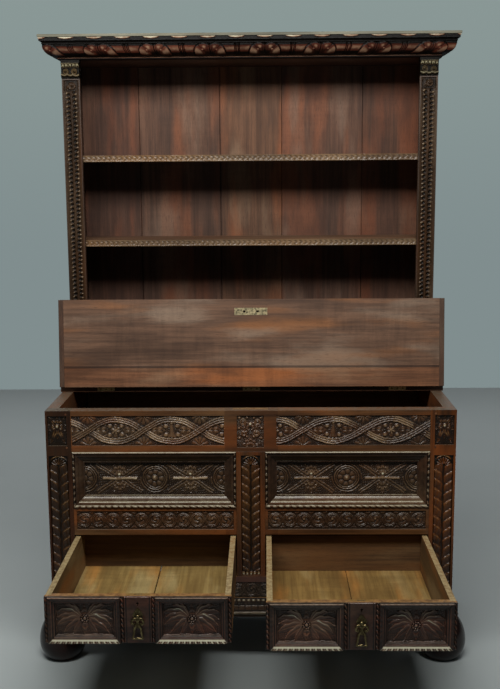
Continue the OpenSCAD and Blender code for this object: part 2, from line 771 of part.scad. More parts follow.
module lid_boards() color(oak) lid_open() difference() {
  union() {
    lid_blank([lid_strip_w - top_half_w + joint_gap, top_half_w - lid_strip_w - joint_gap],
      [lid_front_edge, lid_joint_y]);
    lid_blank([lid_strip_w - top_half_w + joint_gap, top_half_w - lid_strip_w - joint_gap],
      [lid_joint_y + joint_gap, lid_rear_edge]);
  }
  hinge_recesses(-1);
  catch_plate_blank(seat_fit);
  for (side = [-1, 1]) {
    catch_screw(side, seat_fit);
    hook_slot(side, hook_travel + 2);
  }
}

module lid_end_strips() color(dark_oak) lid_open() both()
  lid_blank([top_half_w - lid_strip_w, top_half_w], [lid_front_edge, lid_rear_edge]);

// Space of the catch plate in the lid's underside
module catch_plate_blank(play = 0)
  block(wider([-lock_plate_w / 2, lock_plate_w / 2], play),
    wider([lock_y - lock_plate_d / 2, lock_y + lock_plate_d / 2], play),
    [chest_top + lid_clear, chest_top + lid_clear + lock_plate_t + play]);

// Slot above one hook of the bolt, up into the closed lid
module hook_slot(side, h)
  translate([side * hook_spacing / 2, lock_y, 0])
    block([-hook_w / 2 - 1, hook_w / 2 + 1], [-hook_t / 2 - 1, hook_t / 2 + 1],
      [chest_top - 1, chest_top + h]);

module catch_screw(side, play = 0)
  translate([side * lock_plate_w * 0.38, lock_y, chest_top + lid_clear]) {
    cylinder(r1 = 2.2 * screw_r + play, r2 = screw_r + play, h = lock_plate_t);
    cylinder(r = screw_r + play, h = screw_l * 0.7 + play);
  }

module catch_plate() color(brass) lid_open() difference() {
  catch_plate_blank();
  for (side = [-1, 1]) {
    hook_slot(side, hook_travel);
    catch_screw(side, seat_fit);
  }
}

module lid_screws() color(brass) lid_open() {
  for (x = hinge_xs, place = [-1, 0, 1]) leaf_screw(x, place, -1);
  for (side = [-1, 1]) catch_screw(side);
}

// Space of the chest lock in the top rail: its case, and its plate flush with the rail's top
module lock_space(play = 0) {
  block(wider([-lock_case_w / 2, lock_case_w / 2], play),
    wider([lock_y - lock_case_t / 2, lock_y + lock_case_t / 2], play),
    [chest_top - lock_case_h - play, chest_top + play]);
  block(wider([-lock_plate_w / 2, lock_plate_w / 2], play),
    wider([lock_y - lock_plate_d / 2, lock_y + lock_plate_d / 2], play),
    [chest_top - lock_plate_t, chest_top + play]);
}

// A keyhole through what lies in front: a round hole with a slot below
module key_hole(l) rotate([90, 0, 0]) {
  cylinder(r = keyhole_r, h = l);
  translate([-keyhole_r * 0.45, -keyhole_r * 2.6, 0]) cube([keyhole_r * 0.9, keyhole_r * 2.6, l]);
}

// Two upright hooks on a bar: play widens them all round, rise lengthens them upwards
module hooks(play = 0, rise = 0) {
  z = [chest_top - hook_drop - hook_l, chest_top - hook_drop];
  for (side = [-1, 1])
    block(wider([side * hook_spacing / 2 - hook_w / 2, side * hook_spacing / 2 + hook_w / 2], play),
      wider([lock_y - hook_t / 2, lock_y + hook_t / 2], play), [z[0] - play, z[1] + rise]);
  block(wider([-hook_spacing / 2 - hook_w / 2, hook_spacing / 2 + hook_w / 2], play),
    wider([lock_y - hook_t / 2, lock_y + hook_t / 2], play),
    [z[0] - play, z[0] + hook_bar_h + play + (rise > 0 ? hook_travel + 1 : 0)]);
}

module chest_lock() color(brass) difference() {
  lock_space();
  hooks(lock_slot_play, 2);
  translate([0, lock_y, chest_top - lock_key_drop]) key_hole(lock_case_t);
}

module chest_lock_bolt() color(brass) hooks();

// One drawer's pieces, drawn closed about the drawer's middle

module drawer_front() difference() {
  block([-drawer_w / 2, drawer_w / 2], [0, drawer_front_t], drawer_front_z);
  both() block([box_half_w - drawer_side_t - seat_fit, drawer_w / 2 + 1],
    [front_lap, drawer_front_t + 1], [drawer_front_z[0] - 1, drawer_front_z[1] + 1]);
  block([-box_half_w - 1, box_half_w + 1], [front_lap + 2, drawer_front_t + 1],
    [drawer_front_z[0] - 1, drawer_side_z0]);
  both() block(wider([drawer_panel_x, drawer_panel_x + drawer_panel_w], -drawer_mould_w),
    [-1, carve_depth - 2], wider(drawer_front_z, -drawer_mould_w));
  drawer_lock_blank(seat_fit);
  translate([0, drawer_lock_y[0] + 1, drawer_front_z[1] - keyhole_drop])
    key_hole(drawer_lock_y[0] + 2);
}

module drawer_sides() both()
  block([box_half_w - drawer_side_t, box_half_w], [front_lap, drawer_l],
    [drawer_side_z0, drawer_front_z[1]]);

module drawer_back()
  block([drawer_side_t - box_half_w, box_half_w - drawer_side_t],
    [drawer_l - drawer_side_t, drawer_l],
    [drawer_side_z0, drawer_front_z[1] - drawer_back_drop]);

module drawer_bottom() both()
  block([joint_gap / 2, box_half_w], [front_lap + 2, drawer_l], [drawer_front_z[0], drawer_side_z0]);

// Cross-section of a drawer panel's moulding: distance in from its edge, and Y
function drawer_profile() = concat(
  [[joint_gap, 0], [joint_gap, -drawer_mould_out + 2], [6, -drawer_mould_out]],
  ogee([7, -drawer_mould_out], [drawer_mould_w - 2, -2], 5),
  [[drawer_mould_w, -2], [drawer_mould_w, 0]]);

module drawer_mouldings() {
  both() mitred_frame([drawer_panel_x, drawer_panel_x + drawer_panel_w], drawer_front_z,
    drawer_mould_w, drawer_profile());
  both() for (x = [front_block_w / 2, drawer_w / 2 - nick_strip_w])
    block([x + joint_gap, x + nick_strip_w - joint_gap], [-nick_strip_out, 0], drawer_front_z);
  difference() {
    block([-front_block_w / 2, front_block_w / 2], [-front_block_out, 0], drawer_front_z);
    translate([0, 1, drawer_front_z[1] - keyhole_drop]) key_hole(front_block_out + 2);
  }
}

// Space of a drawer lock: its case in the back of the front, and its plate in the top edge
module drawer_lock_blank(play = 0) {
  block(wider([-drawer_lock_w / 2, drawer_lock_w / 2], play), wider(drawer_lock_y, play),
    [drawer_front_z[1] - drawer_lock_h - play, drawer_front_z[1] + play]);
  block(wider([-selvedge_w / 2, selvedge_w / 2], play), wider(drawer_lock_y, play),
    [drawer_front_z[1] - selvedge_t, drawer_front_z[1] + play]);
}

// The bolt of a drawer lock, or with play its space in the case
module drawer_bolt(play = 0, rise = 0)
  block(wider([-bolt_w / 2, bolt_w / 2], play),
    wider([bolt_y - bolt_t / 2, bolt_y + bolt_t / 2], play),
    [drawer_front_z[1] - bolt_drop - bolt_h - play, drawer_front_z[1] - bolt_drop + rise]);

module drawer_lock() difference() {
  drawer_lock_blank();
  drawer_bolt(bolt_play, 1);
  translate([0, bolt_y, drawer_front_z[1] - keyhole_drop]) key_hole(bolt_y - drawer_lock_y[0] + 1);
}

// Rosette plate of the pull, with two ears and the pin between them
module drawer_pull_plate() {
  y0 = -front_block_out;
  translate([0, y0, drawer_front_z[1] - pull_drop]) rotate([90, 0, 0])
    cylinder(r = rosette_r, h = rosette_t);
  both() block([pivot_eye_l / 2 + ear_gap, pivot_eye_l / 2 + ear_gap + ear_t],
    [pivot_y - pivot_eye_r * 0.7, y0 - rosette_t + 0.5],
    [pivot_z - pivot_eye_r * 0.7, pivot_z + pivot_eye_r * 0.7]);
  translate([-pivot_eye_l / 2 - ear_gap - ear_t / 2, pivot_y, pivot_z]) rotate([0, 90, 0])
    cylinder(r = pivot_pin_r, h = pivot_eye_l + 2 * ear_gap + ear_t);
}

// Right-hand edge of the drop pull, from its eye down to its foot
pull_edge = [
  [1.6, -3], [2.6, -12], [4.5, -18], [2.4, -24], [3, -0.45 * pull_l],
  [0.5 * pull_w, 8 - pull_l], [0.34 * pull_w, 5 - pull_l]
];

// The drop pull: an eye on the pin, and a pendant that widens to two feet over a knob
module drop_pull() difference() {
  union() {
    translate([-pivot_eye_l / 2, pivot_y, pivot_z]) rotate([0, 90, 0])
      cylinder(r = pivot_eye_r, h = pivot_eye_l);
    translate([0, pivot_y + pull_t / 2, pivot_z]) rotate([90, 0, 0]) linear_extrude(pull_t)
      polygon(concat(pull_edge, [for (i = [1:len(pull_edge)]) let (p = pull_edge[len(pull_edge) - i])
        [-p[0], p[1]]]));
    translate([0, pivot_y, pivot_z - pull_l + pull_knob_r]) sphere(r = pull_knob_r);
  }
  translate([-pivot_eye_l, pivot_y, pivot_z]) rotate([0, 90, 0])
    cylinder(r = pivot_pin_r + pin_clear, h = 2 * pivot_eye_l);
}

module drawer_left_front() color(dark_oak) drawer_place(-1) drawer_front();
module drawer_left_sides() color(pale_wood) drawer_place(-1) drawer_sides();
module drawer_left_back() color(pale_wood) drawer_place(-1) drawer_back();
module drawer_left_bottom() color(pale_wood) drawer_place(-1) drawer_bottom();
module drawer_left_mouldings() color(dark_oak) drawer_place(-1) drawer_mouldings();
module drawer_left_lock() color(brass) drawer_place(-1) drawer_lock();
module drawer_left_bolt() color(brass) drawer_place(-1) drawer_bolt();
module drawer_left_pull_plate() color(dark_brass) drawer_place(-1) drawer_pull_plate();
module drawer_left_pull() color(dark_brass) drawer_place(-1) drop_pull();
module drawer_right_front() color(dark_oak) drawer_place(1) drawer_front();
module drawer_right_sides() color(pale_wood) drawer_place(1) drawer_sides();
module drawer_right_back() color(pale_wood) drawer_place(1) drawer_back();
module drawer_right_bottom() color(pale_wood) drawer_place(1) drawer_bottom();
module drawer_right_mouldings() color(dark_oak) drawer_place(1) drawer_mouldings();
module drawer_right_lock() color(brass) drawer_place(1) drawer_lock();
module drawer_right_bolt() color(brass) drawer_place(1) drawer_bolt();
module drawer_right_pull_plate() color(dark_brass) drawer_place(1) drawer_pull_plate();
module drawer_right_pull() color(dark_brass) drawer_place(1) drop_pull();

// Bookcase pieces

module case_side() block([case_in_x, case_half], [case_side_y, chest_d], [top_board_z, cornice_top_z]);
module case_side_right() color(oak) case_side();
module case_side_left() color(oak) mirror([1, 0, 0]) case_side();

module pilaster() difference() {
  block([case_half - pilaster_w, case_half], [case_front_y, case_side_y], [top_board_z, capital_z]);
  block([case_half - pilaster_w + 4, case_half - 4], [case_front_y - 1, case_front_y + carve_depth],
    [top_board_z + plinth_h, capital_z - 6]);
}
module pilaster_right() color(oak) pilaster();
module pilaster_left() color(oak) mirror([1, 0, 0]) pilaster();

module pilaster_capitals() color(oak) both() {
  inner = case_half - pilaster_w;
  block([inner, case_half], [case_front_y - capital_out / 2, case_side_y], [capital_z, cornice_z - 10]);
  block([inner - 2, case_half], [case_front_y - capital_out, case_side_y], [cornice_z - 10, cornice_z]);
}

module case_boards() color(oak) for (z = [top_board_z, cornice_z])
  block([-case_in_x, case_in_x], [case_side_y, case_back_y], [z, z + case_board_t]);

module shelves() color(oak) for (z = [shelf_1_z, shelf_2_z, shelf_3_z])
  block([-case_in_x, case_in_x], [case_side_y + shelf_setback, case_back_y],
    [top_board_z + z - shelf_t, top_board_z + z]);

// Upright back boards between the sides: their joints lie the same on both sides of the middle
module case_back_boards() color(dark_oak) {
  mid = back_centre_w / 2;
  outer = mid + back_mid_w;
  for (x = [[-case_in_x, -outer], [-outer, -mid], [-mid, mid], [mid, outer], [outer, case_in_x]])
    block([x[0] + (x[0] > -case_in_x ? back_gap / 2 : 0),
      x[1] - (x[1] < case_in_x ? back_gap / 2 : 0)], [case_back_y, chest_d],
      [top_board_z, cornice_top_z]);
}

// Cross-section of the cornice: distance out from the case, and height from its foot
function cornice_profile() = concat(
  [[0, 0], [7, 0]],
  arc(7, 4, 4, -90, 90, 6),
  [[9, 8], [10, 10]],
  [for (i = [0:8]) let (a = 90 * i / 8) [12 + (cornice_out - 26) * sin(a), 48 - 38 * cos(a)]],
  [[cornice_out - 12, 50]],
  [for (i = [0:6]) let (a = 90 * i / 6) [cornice_out - 4 - 8 * cos(a), 50 + 8 * sin(a)]],
  [[cornice_out - 3, 59], [cornice_out - 3, cornice_h], [0, cornice_h]]);

module cornice_moulding() color(dark_oak) {
  mitred_surround(cornice_profile(), case_half, [case_front_y, chest_d], cornice_z);
  block([joint_gap - case_half, case_half - joint_gap], [case_front_y, case_side_y],
    [cornice_z, cornice_top_z]);
}

module cornice_top_board() color(oak)
  block([-case_half - cornice_out, case_half + cornice_out], [case_front_y - cornice_out, chest_d],
    [cornice_top_z, cornice_top_z + cornice_board_t]);

placed() front_stiles();
placed() rear_stiles();
placed() front_top_rail();
placed() front_mid_rails();
placed() front_base_rail();
placed() front_muntin();
placed() front_panels();
placed() panel_mouldings();
placed() side_rails();
placed() side_panels();
placed() chest_back_boards();
placed() well_floor_boards();
placed() well_floor_ledgers();
placed() drawer_runners();
placed() drawer_guides();
placed() foot_pads();
placed() bun_feet();
placed() base_moulding();
placed() joint_pegs();
placed() rear_top_board();
placed() chest_lock();
placed() chest_lock_bolt();
placed() case_side_left();
placed() case_side_right();
placed() pilaster_left();
placed() pilaster_right();
placed() pilaster_capitals();
placed() case_boards();
placed() shelves();
placed() case_back_boards();
placed() cornice_moulding();
placed() cornice_top_board();
placed() lid_boards();
placed() lid_end_strips();
placed() catch_plate();
placed() hinge_leaves_fixed();
placed() hinge_leaves_lid();
placed() hinge_pins();
placed() hinge_screws_fixed();
placed() lid_screws();
placed() drawer_left_front();
placed() drawer_left_sides();
placed() drawer_left_back();
placed() drawer_left_bottom();
placed() drawer_left_mouldings();
placed() drawer_left_lock();
placed() drawer_left_bolt();
placed() drawer_left_pull_plate();
placed() drawer_left_pull();
placed() drawer_right_front();
placed() drawer_right_sides();
placed() drawer_right_back();
placed() drawer_right_bottom();
placed() drawer_right_mouldings();
placed() drawer_right_lock();
placed() drawer_right_bolt();
placed() drawer_right_pull_plate();
placed() drawer_right_pull();
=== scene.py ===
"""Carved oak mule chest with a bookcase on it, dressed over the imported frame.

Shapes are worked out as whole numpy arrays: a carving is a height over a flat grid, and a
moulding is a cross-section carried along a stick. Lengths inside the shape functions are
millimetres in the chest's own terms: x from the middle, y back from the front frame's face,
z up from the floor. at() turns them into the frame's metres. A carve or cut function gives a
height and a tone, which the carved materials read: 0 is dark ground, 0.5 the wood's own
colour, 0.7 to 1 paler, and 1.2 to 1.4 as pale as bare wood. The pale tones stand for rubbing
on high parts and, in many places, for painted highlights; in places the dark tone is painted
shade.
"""
import math
from functools import reduce

import bpy
import numpy as np
from mathutils import Matrix, Vector


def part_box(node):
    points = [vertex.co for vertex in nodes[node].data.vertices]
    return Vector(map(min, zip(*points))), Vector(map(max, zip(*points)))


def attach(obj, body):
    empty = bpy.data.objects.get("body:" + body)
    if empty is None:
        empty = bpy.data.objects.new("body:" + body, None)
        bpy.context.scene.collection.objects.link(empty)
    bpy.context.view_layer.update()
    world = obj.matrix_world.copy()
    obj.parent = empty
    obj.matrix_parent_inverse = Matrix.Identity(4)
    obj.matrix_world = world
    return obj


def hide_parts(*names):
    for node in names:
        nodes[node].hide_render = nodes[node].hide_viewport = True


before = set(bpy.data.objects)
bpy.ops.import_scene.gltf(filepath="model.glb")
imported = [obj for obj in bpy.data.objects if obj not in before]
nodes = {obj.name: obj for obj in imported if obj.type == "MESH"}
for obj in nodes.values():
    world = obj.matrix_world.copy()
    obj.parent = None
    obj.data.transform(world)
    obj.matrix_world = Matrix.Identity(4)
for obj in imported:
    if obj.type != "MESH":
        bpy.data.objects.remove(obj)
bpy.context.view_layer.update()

# Sizes of the chest, in mm
FACE_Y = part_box("front_stiles")[0][1] * 1000
HALF_W, DEPTH = 700, 620
RAIL_X, MUNTIN_X = 613, 49.5
STILE_X, STILE_HALF, FIELD_TOP = 660, 33, 757
BASE_Z = 176
PANEL_Z = (572, 771)
PANEL_CX = (RAIL_X + MUNTIN_X) / 2
CARVE = 6
CASE_HALF, CASE_Y = 667, 340
PILASTER_X = 635
BACK_JOINTS = (-427, -118, 118, 427)
SHELF_TOPS = (1166, 1471, 1776)
SIDES = {"left": -1, "right": 1}
DRAWER_OUT = {"left": 500, "right": 545}
DRAWER_Z = (321.3, 468)
DRAWER_CZ = sum(DRAWER_Z) / 2
DRAWER_W, BLOCK_W, BLOCK_OUT, STRIP_W = 560, 84, 6, 10
DRAWER_PANEL_W = (DRAWER_W - BLOCK_W - 4 * STRIP_W) / 2
PIVOT_Y, PIVOT_Z, PULL_FOOT = -17.0, 411.0, 338.0


def at(x, y, z):
    """Chest millimetres to the frame's metres, as one array with x, y, z in its last axis."""
    return np.stack(np.broadcast_arrays(x, np.asarray(y) + FACE_Y, z), -1) / 1000.0


class Graph:
    """A shader node tree in the making. Most methods add a node and return its output."""

    def __init__(self, tree):
        self.tree = tree

    def feed(self, inputs, values):
        """Links the values that are sockets to the inputs they name, and sets the others."""
        for key, value in values.items():
            if isinstance(value, bpy.types.NodeSocket):
                self.tree.links.new(value, inputs[key])
            else:
                inputs[key].default_value = value

    def add(self, kind, values=None, output=0, **settings):
        node = self.tree.nodes.new("ShaderNode" + kind)
        for key, value in settings.items():
            setattr(node, key, value)
        self.feed(node.inputs, values or {})
        return node.outputs[output]

    def use(self, group, **values):
        """A shader node group with these inputs; returns its outputs."""
        node = self.tree.nodes.new("ShaderNodeGroup")
        node.node_tree = group
        self.feed(node.inputs, values)
        return node.outputs

    def mix(self, factor, a, b, mode="MIX"):
        """a turning into b as factor goes from 0 to 1, both colours."""
        return self.add("Mix", {0: factor, 6: a, 7: b}, 2, data_type="RGBA", blend_type=mode)

    def spread(self, value, low, high, to_low=0.0, to_high=1.0, kind="SMOOTHSTEP"):
        """value brought from the range low..high to the range to_low..to_high."""
        return self.add("MapRange", {0: value, 1: low, 2: high, 3: to_low, 4: to_high},
                        interpolation_type=kind)

    def noise(self, vector, along, across, detail=3.0, roughness=0.55):
        """Noise drawn out in three axes: along and across are its features per metre."""
        scaled = self.add("VectorMath", {0: vector, 1: (along, across, across)},
                          operation="MULTIPLY")
        return self.add("TexNoise", {"Vector": scaled, "Scale": 1.0, "Detail": detail,
                                     "Roughness": roughness})

    def calc(self, operation, a, b):
        return self.add("Math", {0: a, 1: b}, operation=operation)

    def times(self, a, b):
        return self.calc("MULTIPLY", a, b)

    def axis(self, vector, number):
        return self.add("SeparateXYZ", {0: vector}, number)

    def bump(self, strength, distance, height):
        return self.add("Bump", {"Strength": strength, "Distance": distance, "Height": height})

    def give(self, **values):
        """Ends a group: these are its outputs, Color a colour and the rest numbers."""
        for title in values:
            kind = "Color" if title == "Color" else "Float"
            self.tree.interface.new_socket(name=title, in_out="OUTPUT",
                                           socket_type="NodeSocket" + kind)
        self.feed(self.tree.nodes.new("NodeGroupOutput").inputs, values)
        return self.tree


def new_group(name, **inputs):
    """A shader node group. Its first input is Vector; the defaults of the others tell a number
    from a colour."""
    tree = bpy.data.node_groups.new(name, "ShaderNodeTree")
    tree.interface.new_socket(name="Vector", in_out="INPUT", socket_type="NodeSocketVector")
    for title, default in inputs.items():
        kind = "Float" if isinstance(default, float) else "Color"
        tree.interface.new_socket(name=title, in_out="INPUT",
                                  socket_type="NodeSocket" + kind).default_value = default
    return Graph(tree), tree.nodes.new("NodeGroupInput").outputs


def rgb(r, g, b):
    """An sRGB colour of 0..255 as linear light."""
    return tuple(((c / 255 + 0.055) / 1.055) ** 2.4 if c > 10 else c / 255 / 12.92
                 for c in (r, g, b)) + (1.0,)


def oak_grain_group():
    """Oak seen close: long streaks, short pores and broad patches, with the grain along x."""
    g, given = new_group("oak_grain", Dark=rgb(40, 22, 14), Mid=rgb(95, 55, 32),
                         Light=rgb(140, 95, 62), Warm=rgb(120, 66, 34), Patches=0.5, Streaks=0.6)
    vector, patches, streaks = given["Vector"], given["Patches"], given["Streaks"]
    streak = g.noise(vector, 3.0, 85.0, 6.0, 0.62)
    fine = g.noise(vector, 16.0, 520.0, 3.0, 0.6)
    pore = g.spread(g.noise(vector, 45.0, 900.0, 1.0, 0.5), 0.58, 0.7)
    patch = g.noise(vector, 2.4, 9.0, 4.0, 0.5)
    shifted = g.add("VectorMath", {0: vector, 1: (7.3, 2.1, 4.7)}, operation="ADD")
    blush = g.noise(shifted, 1.8, 11.0, 3.0, 0.5)
    tone = g.calc("ADD", g.times(g.spread(streak, 0.3, 0.7), streaks),
                  g.times(fine, g.calc("SUBTRACT", 1.0, streaks)))
    base = g.mix(tone, given["Dark"], given["Mid"])
    base = g.mix(g.times(g.spread(blush, 0.48, 0.66), patches), base, given["Warm"])
    for limit, share, tint in ((0.68, 0.7, "Light"), (0.32, 0.8, "Dark")):
        mask = g.times(g.spread(patch, 0.5, limit), patches)
        base = g.mix(g.times(mask, share), base, given[tint])
    return g.give(Color=g.mix(g.times(pore, 0.45), base, given["Dark"]),
                  Rough=g.calc("ADD", g.times(fine, 0.25), g.times(patch, 0.25)),
                  Height=g.calc("SUBTRACT", g.times(fine, 0.6), pore))


def carved_age_group():
    """Tone on carving, read from the relief: the ground darker, high parts paler, and the wood as
    pale as bare wood where the relief is over 1.2. The pale colours stand both for rubbing and for
    the highlights that the carve functions paint, and the dark one in places for painted shade."""
    g, given = new_group("carved_age", Color=rgb(90, 55, 35), Relief=0.5, Ground=rgb(14, 9, 7),
                         Worn=rgb(150, 125, 95), Bare=rgb(174, 170, 148), Wear=0.5)
    uneven = g.noise(given["Vector"], 30.0, 30.0, 5.0, 0.7)
    level = g.calc("ADD", given["Relief"], g.times(g.calc("SUBTRACT", uneven, 0.5), 0.55))
    base = g.mix(g.spread(level, 0.05, 0.55), given["Ground"], given["Color"])
    base = g.mix(g.times(g.spread(level, 0.66, 1.02), given["Wear"]), base, given["Worn"])
    return g.give(Color=g.mix(g.spread(level, 1.15, 1.4), base, given["Bare"]),
                  Rough=g.spread(level, 0.1, 0.85, 0.4, 0.28))


def rubbed_top_group():
    """Faces that look up, made grey: part dusting and rubbing, part a painted highlight on tops."""
    g, given = new_group("rubbed_top", Color=rgb(90, 55, 35), Dust=rgb(128, 116, 96),
                         Amount=0.5, From=0.6)
    facing = g.axis(g.add("NewGeometry", output="True Normal"), 2)
    cloud = g.spread(g.noise(given["Vector"], 60.0, 60.0, 6.0, 0.7), 0.35, 0.62, 0.3, 1.0)
    share = g.times(g.spread(facing, given["From"], 0.95), given["Amount"])
    return g.give(Color=g.mix(g.times(share, cloud), given["Color"], given["Dust"]))


def saw_marks_group():
    """Darker and lighter bars across the grain, left by the saw: noise drawn out over the width."""
    g, given = new_group("saw_marks", Color=rgb(90, 55, 35), Amount=0.5)
    bars = g.noise(given["Vector"], 22.0, 3.4, 6.0, 0.72)
    worn = g.noise(given["Vector"], 5.0, 5.0, 2.0, 0.5)
    amount = g.times(g.spread(worn, 0.36, 0.6), given["Amount"])
    barred = g.mix(1.0, given["Color"], g.spread(bars, 0.34, 0.66, 0.7, 1.28), "MULTIPLY")
    return g.give(Color=g.mix(amount, given["Color"], barred))


def tarnish_group():
    """Old brass: brown tarnish in patches over a paler handled metal."""
    g, given = new_group("brass_tarnish", Metal=rgb(176, 148, 98), Tarnish=rgb(70, 50, 28),
                         Amount=0.5)
    cloud = g.noise(given["Vector"], 120.0, 120.0, 4.0, 0.65)
    amount = g.times(g.spread(cloud, 0.3, 0.68), given["Amount"])
    return g.give(Color=g.mix(amount, given["Metal"], given["Tarnish"]),
                  Rough=g.spread(cloud, 0.3, 0.7, 0.24, 0.5),
                  Height=g.noise(given["Vector"], 900.0, 900.0, 2.0, 0.5))


GRAIN, AGE, TARNISH = oak_grain_group(), carved_age_group(), tarnish_group()
TOPS, SAW = rubbed_top_group(), saw_marks_group()
ALONG = {"x": (0.0, 0.0, 0.0), "y": (0.0, 0.0, math.pi / 2), "z": (0.0, math.pi / 2, 0.0)}


def new_material(name):
    """A material, its graph, the inputs of its shader, and its object coordinates."""
    material = bpy.data.materials.new(name)
    material.use_nodes = True
    g = Graph(material.node_tree)
    shader = next(n for n in g.tree.nodes if n.type == "BSDF_PRINCIPLED")
    return material, g, shader.inputs, g.add("TexCoord", output="Object")


def oak(name, dark, mid, light, warm, grain, patches=0.5, streaks=0.6, rough=0.46, bump=0.12,
        wear=None, worn=(150, 125, 95), ground=(20, 11, 5), shine=0.4, dust=0.0, dust_from=0.6,
        dust_colour=(132, 120, 100), sawn=0.0, tones=(), tones_by="x", fade=None):
    """Oak with its grain along one axis. wear is for carving: it makes the ground darker and the
    high parts paler towards worn, for rubbing and for the highlights that the carve functions
    paint. dust greys the faces that look up, part dusting and part a painted highlight on tops,
    and sawn adds marks across the grain.
    tones is a list of (place in mm, colour share) steps along x or z, for boards of different
    tone in one node. fade is (low, high, share): the share of light left at and below low."""
    material, g, shader, where = new_material(name)
    lengthways = g.add("Mapping", {"Vector": where, "Rotation": ALONG[grain]})
    wood = g.use(GRAIN, Vector=lengthways, Dark=rgb(*dark), Mid=rgb(*mid), Light=rgb(*light),
                 Warm=rgb(*warm), Patches=patches, Streaks=streaks)
    colour, height = wood["Color"], wood["Height"]
    roughness = g.calc("ADD", wood["Rough"], rough - 0.25)
    if tones:
        number, low, high = {"x": (0, -0.8, 0.8), "z": (2, 0.0, 2.2)}[tones_by]
        share = g.spread(g.axis(where, number), low, high, kind="LINEAR")
        painted = g.add("ValToRGB", {0: share})
        ramp = painted.node.color_ramp
        ramp.interpolation = "CONSTANT"
        ramp.elements.remove(ramp.elements[-1])
        for i, (place, tint) in enumerate(tones):
            spot = (place / 1000 - low) / (high - low)
            step = ramp.elements.new(spot) if i else ramp.elements[0]
            step.position = max(0.0, spot)
            step.color = (*tint, 1.0)
        colour = g.mix(1.0, colour, painted, "MULTIPLY")
    if fade:
        gloom = g.spread(g.axis(where, 2), fade[0] / 1000, fade[1] / 1000, fade[2], 1.0, "LINEAR")
        colour = g.mix(1.0, colour, gloom, "MULTIPLY")
    if sawn:
        colour = g.use(SAW, Vector=lengthways, Color=colour, Amount=sawn)["Color"]
    if wear is not None:
        relief = g.add("Attribute", output="Fac", attribute_name="relief")
        # High parts and painted highlights take the pale colours; the ground and painted shade take
        # the dark one.
        age = g.use(AGE, Vector=where, Color=colour, Relief=relief, Ground=rgb(*ground),
                    Worn=rgb(*worn), Wear=wear)
        colour, roughness = age["Color"], age["Rough"]
        height = g.calc("ADD", g.times(g.noise(where, 190.0, 190.0, 3.0, 0.6), 1.8), height)
    # Faces that look up are greyed: part dusting, part a painted highlight on tops.
    if dust:
        colour = g.use(TOPS, Vector=where, Color=colour, Dust=rgb(*dust_colour), Amount=dust,
                       From=dust_from)["Color"]
    g.feed(shader, {"Base Color": colour, "Roughness": roughness, "Specular IOR Level": shine,
                    "Normal": g.bump(bump, 0.0006, height)})
    return material


def brass(name, metal, tarnish, amount, metallic=1.0):
    """Old brass with its tarnish. Less metallic reads as brass under old lacquer."""
    material, g, shader, where = new_material(name)
    old = g.use(TARNISH, Vector=where, Metal=rgb(*metal), Tarnish=rgb(*tarnish), Amount=amount)
    g.feed(shader, {"Base Color": old["Color"], "Roughness": old["Rough"], "Metallic": metallic,
                    "Normal": g.bump(0.2, 0.0003, old["Height"])})
    return material


# Woods: dark, mid, light and warm colours, then the grain's axis
# Where a wood greys its faces that look up, that is part dusting and part a painted highlight on
# tops.
oak_rail = oak("oak_frame_along", (42, 24, 11), (100, 64, 33), (108, 80, 50), (122, 66, 26), "x",
               patches=0.6, shine=0.3, dust=0.75, dust_colour=(90, 81, 70),
               tones=[(-900, (1.0, 1.0, 1.0)), (-88, (0.7, 0.66, 0.66)), (88, (1.0, 1.0, 1.0))])
STILE = ((32, 17, 7), (80, 46, 20), (82, 56, 34), (104, 52, 16), "z")
# The left stile is much darker than the right, which is lighter and more orange.
oak_stile = oak("oak_frame_upright", *STILE, patches=0.6, shine=0.25, dust=0.8,
                dust_colour=(88, 80, 66),
                tones=[(-900, (0.42, 0.4, 0.38)), (0, (1.3, 1.24, 1.06))])
oak_muntin = oak("oak_muntin", *STILE, patches=0.6, shine=0.25)
oak_side = oak("oak_frame_sides", (46, 24, 12), (92, 54, 28), (106, 76, 48), (112, 62, 28), "y",
               dust=0.85, dust_colour=(76, 72, 60))
oak_panel = oak("oak_panel", (30, 18, 11), (66, 42, 26), (88, 66, 46), (84, 46, 24), "x")
oak_side_panel = oak("oak_side_panel", (40, 22, 12), (80, 48, 27), (98, 68, 44), (100, 56, 28),
                     "z", rough=0.5)
UNFINISHED = ((60, 42, 28), (104, 78, 52), (138, 112, 82), (120, 84, 50))
oak_hidden = oak("oak_unfinished", *UNFINISHED, "x", rough=0.75, shine=0.25)
oak_hidden_y = oak("oak_unfinished_deep", *UNFINISHED, "y", rough=0.75, shine=0.25)
oak_lid = oak("oak_lid", (50, 34, 25), (113, 84, 65), (130, 114, 99), (130, 84, 48), "x",
              patches=0.7, streaks=0.5, rough=0.6, shine=0.3, sawn=0.5, tones_by="z",
              tones=[(0, (1.3, 1.02, 0.78)), (1005, (0.5, 0.45, 0.42)),
                     (1006.5, (1.02, 1.0, 0.98))])
oak_lid_end = oak("oak_lid_ends", (36, 22, 13), (78, 50, 33), (92, 74, 58), (92, 52, 30), "z",
                  rough=0.55)
oak_top = oak("oak_top_board", (50, 30, 18), (94, 60, 38), (108, 86, 64), (110, 64, 36), "x",
              rough=0.55, dust=0.5)
oak_bare_top = oak("oak_bare_top", (62, 60, 50), (112, 110, 96), (132, 130, 114),
                   (98, 90, 72), "x", rough=0.75, shine=0.25)
oak_shelf = oak("oak_shelf", (52, 34, 22), (92, 64, 42), (112, 88, 64), (104, 66, 38), "x",
                rough=0.58)
oak_case = oak("oak_case_sides", (34, 20, 13), (66, 42, 28), (84, 62, 46), (80, 46, 28), "z",
               rough=0.52)
oak_pilaster = oak("oak_pilaster_margin", (34, 24, 17), (64, 47, 35), (84, 68, 54),
                   (74, 42, 24), "z", rough=0.42, shine=0.3)
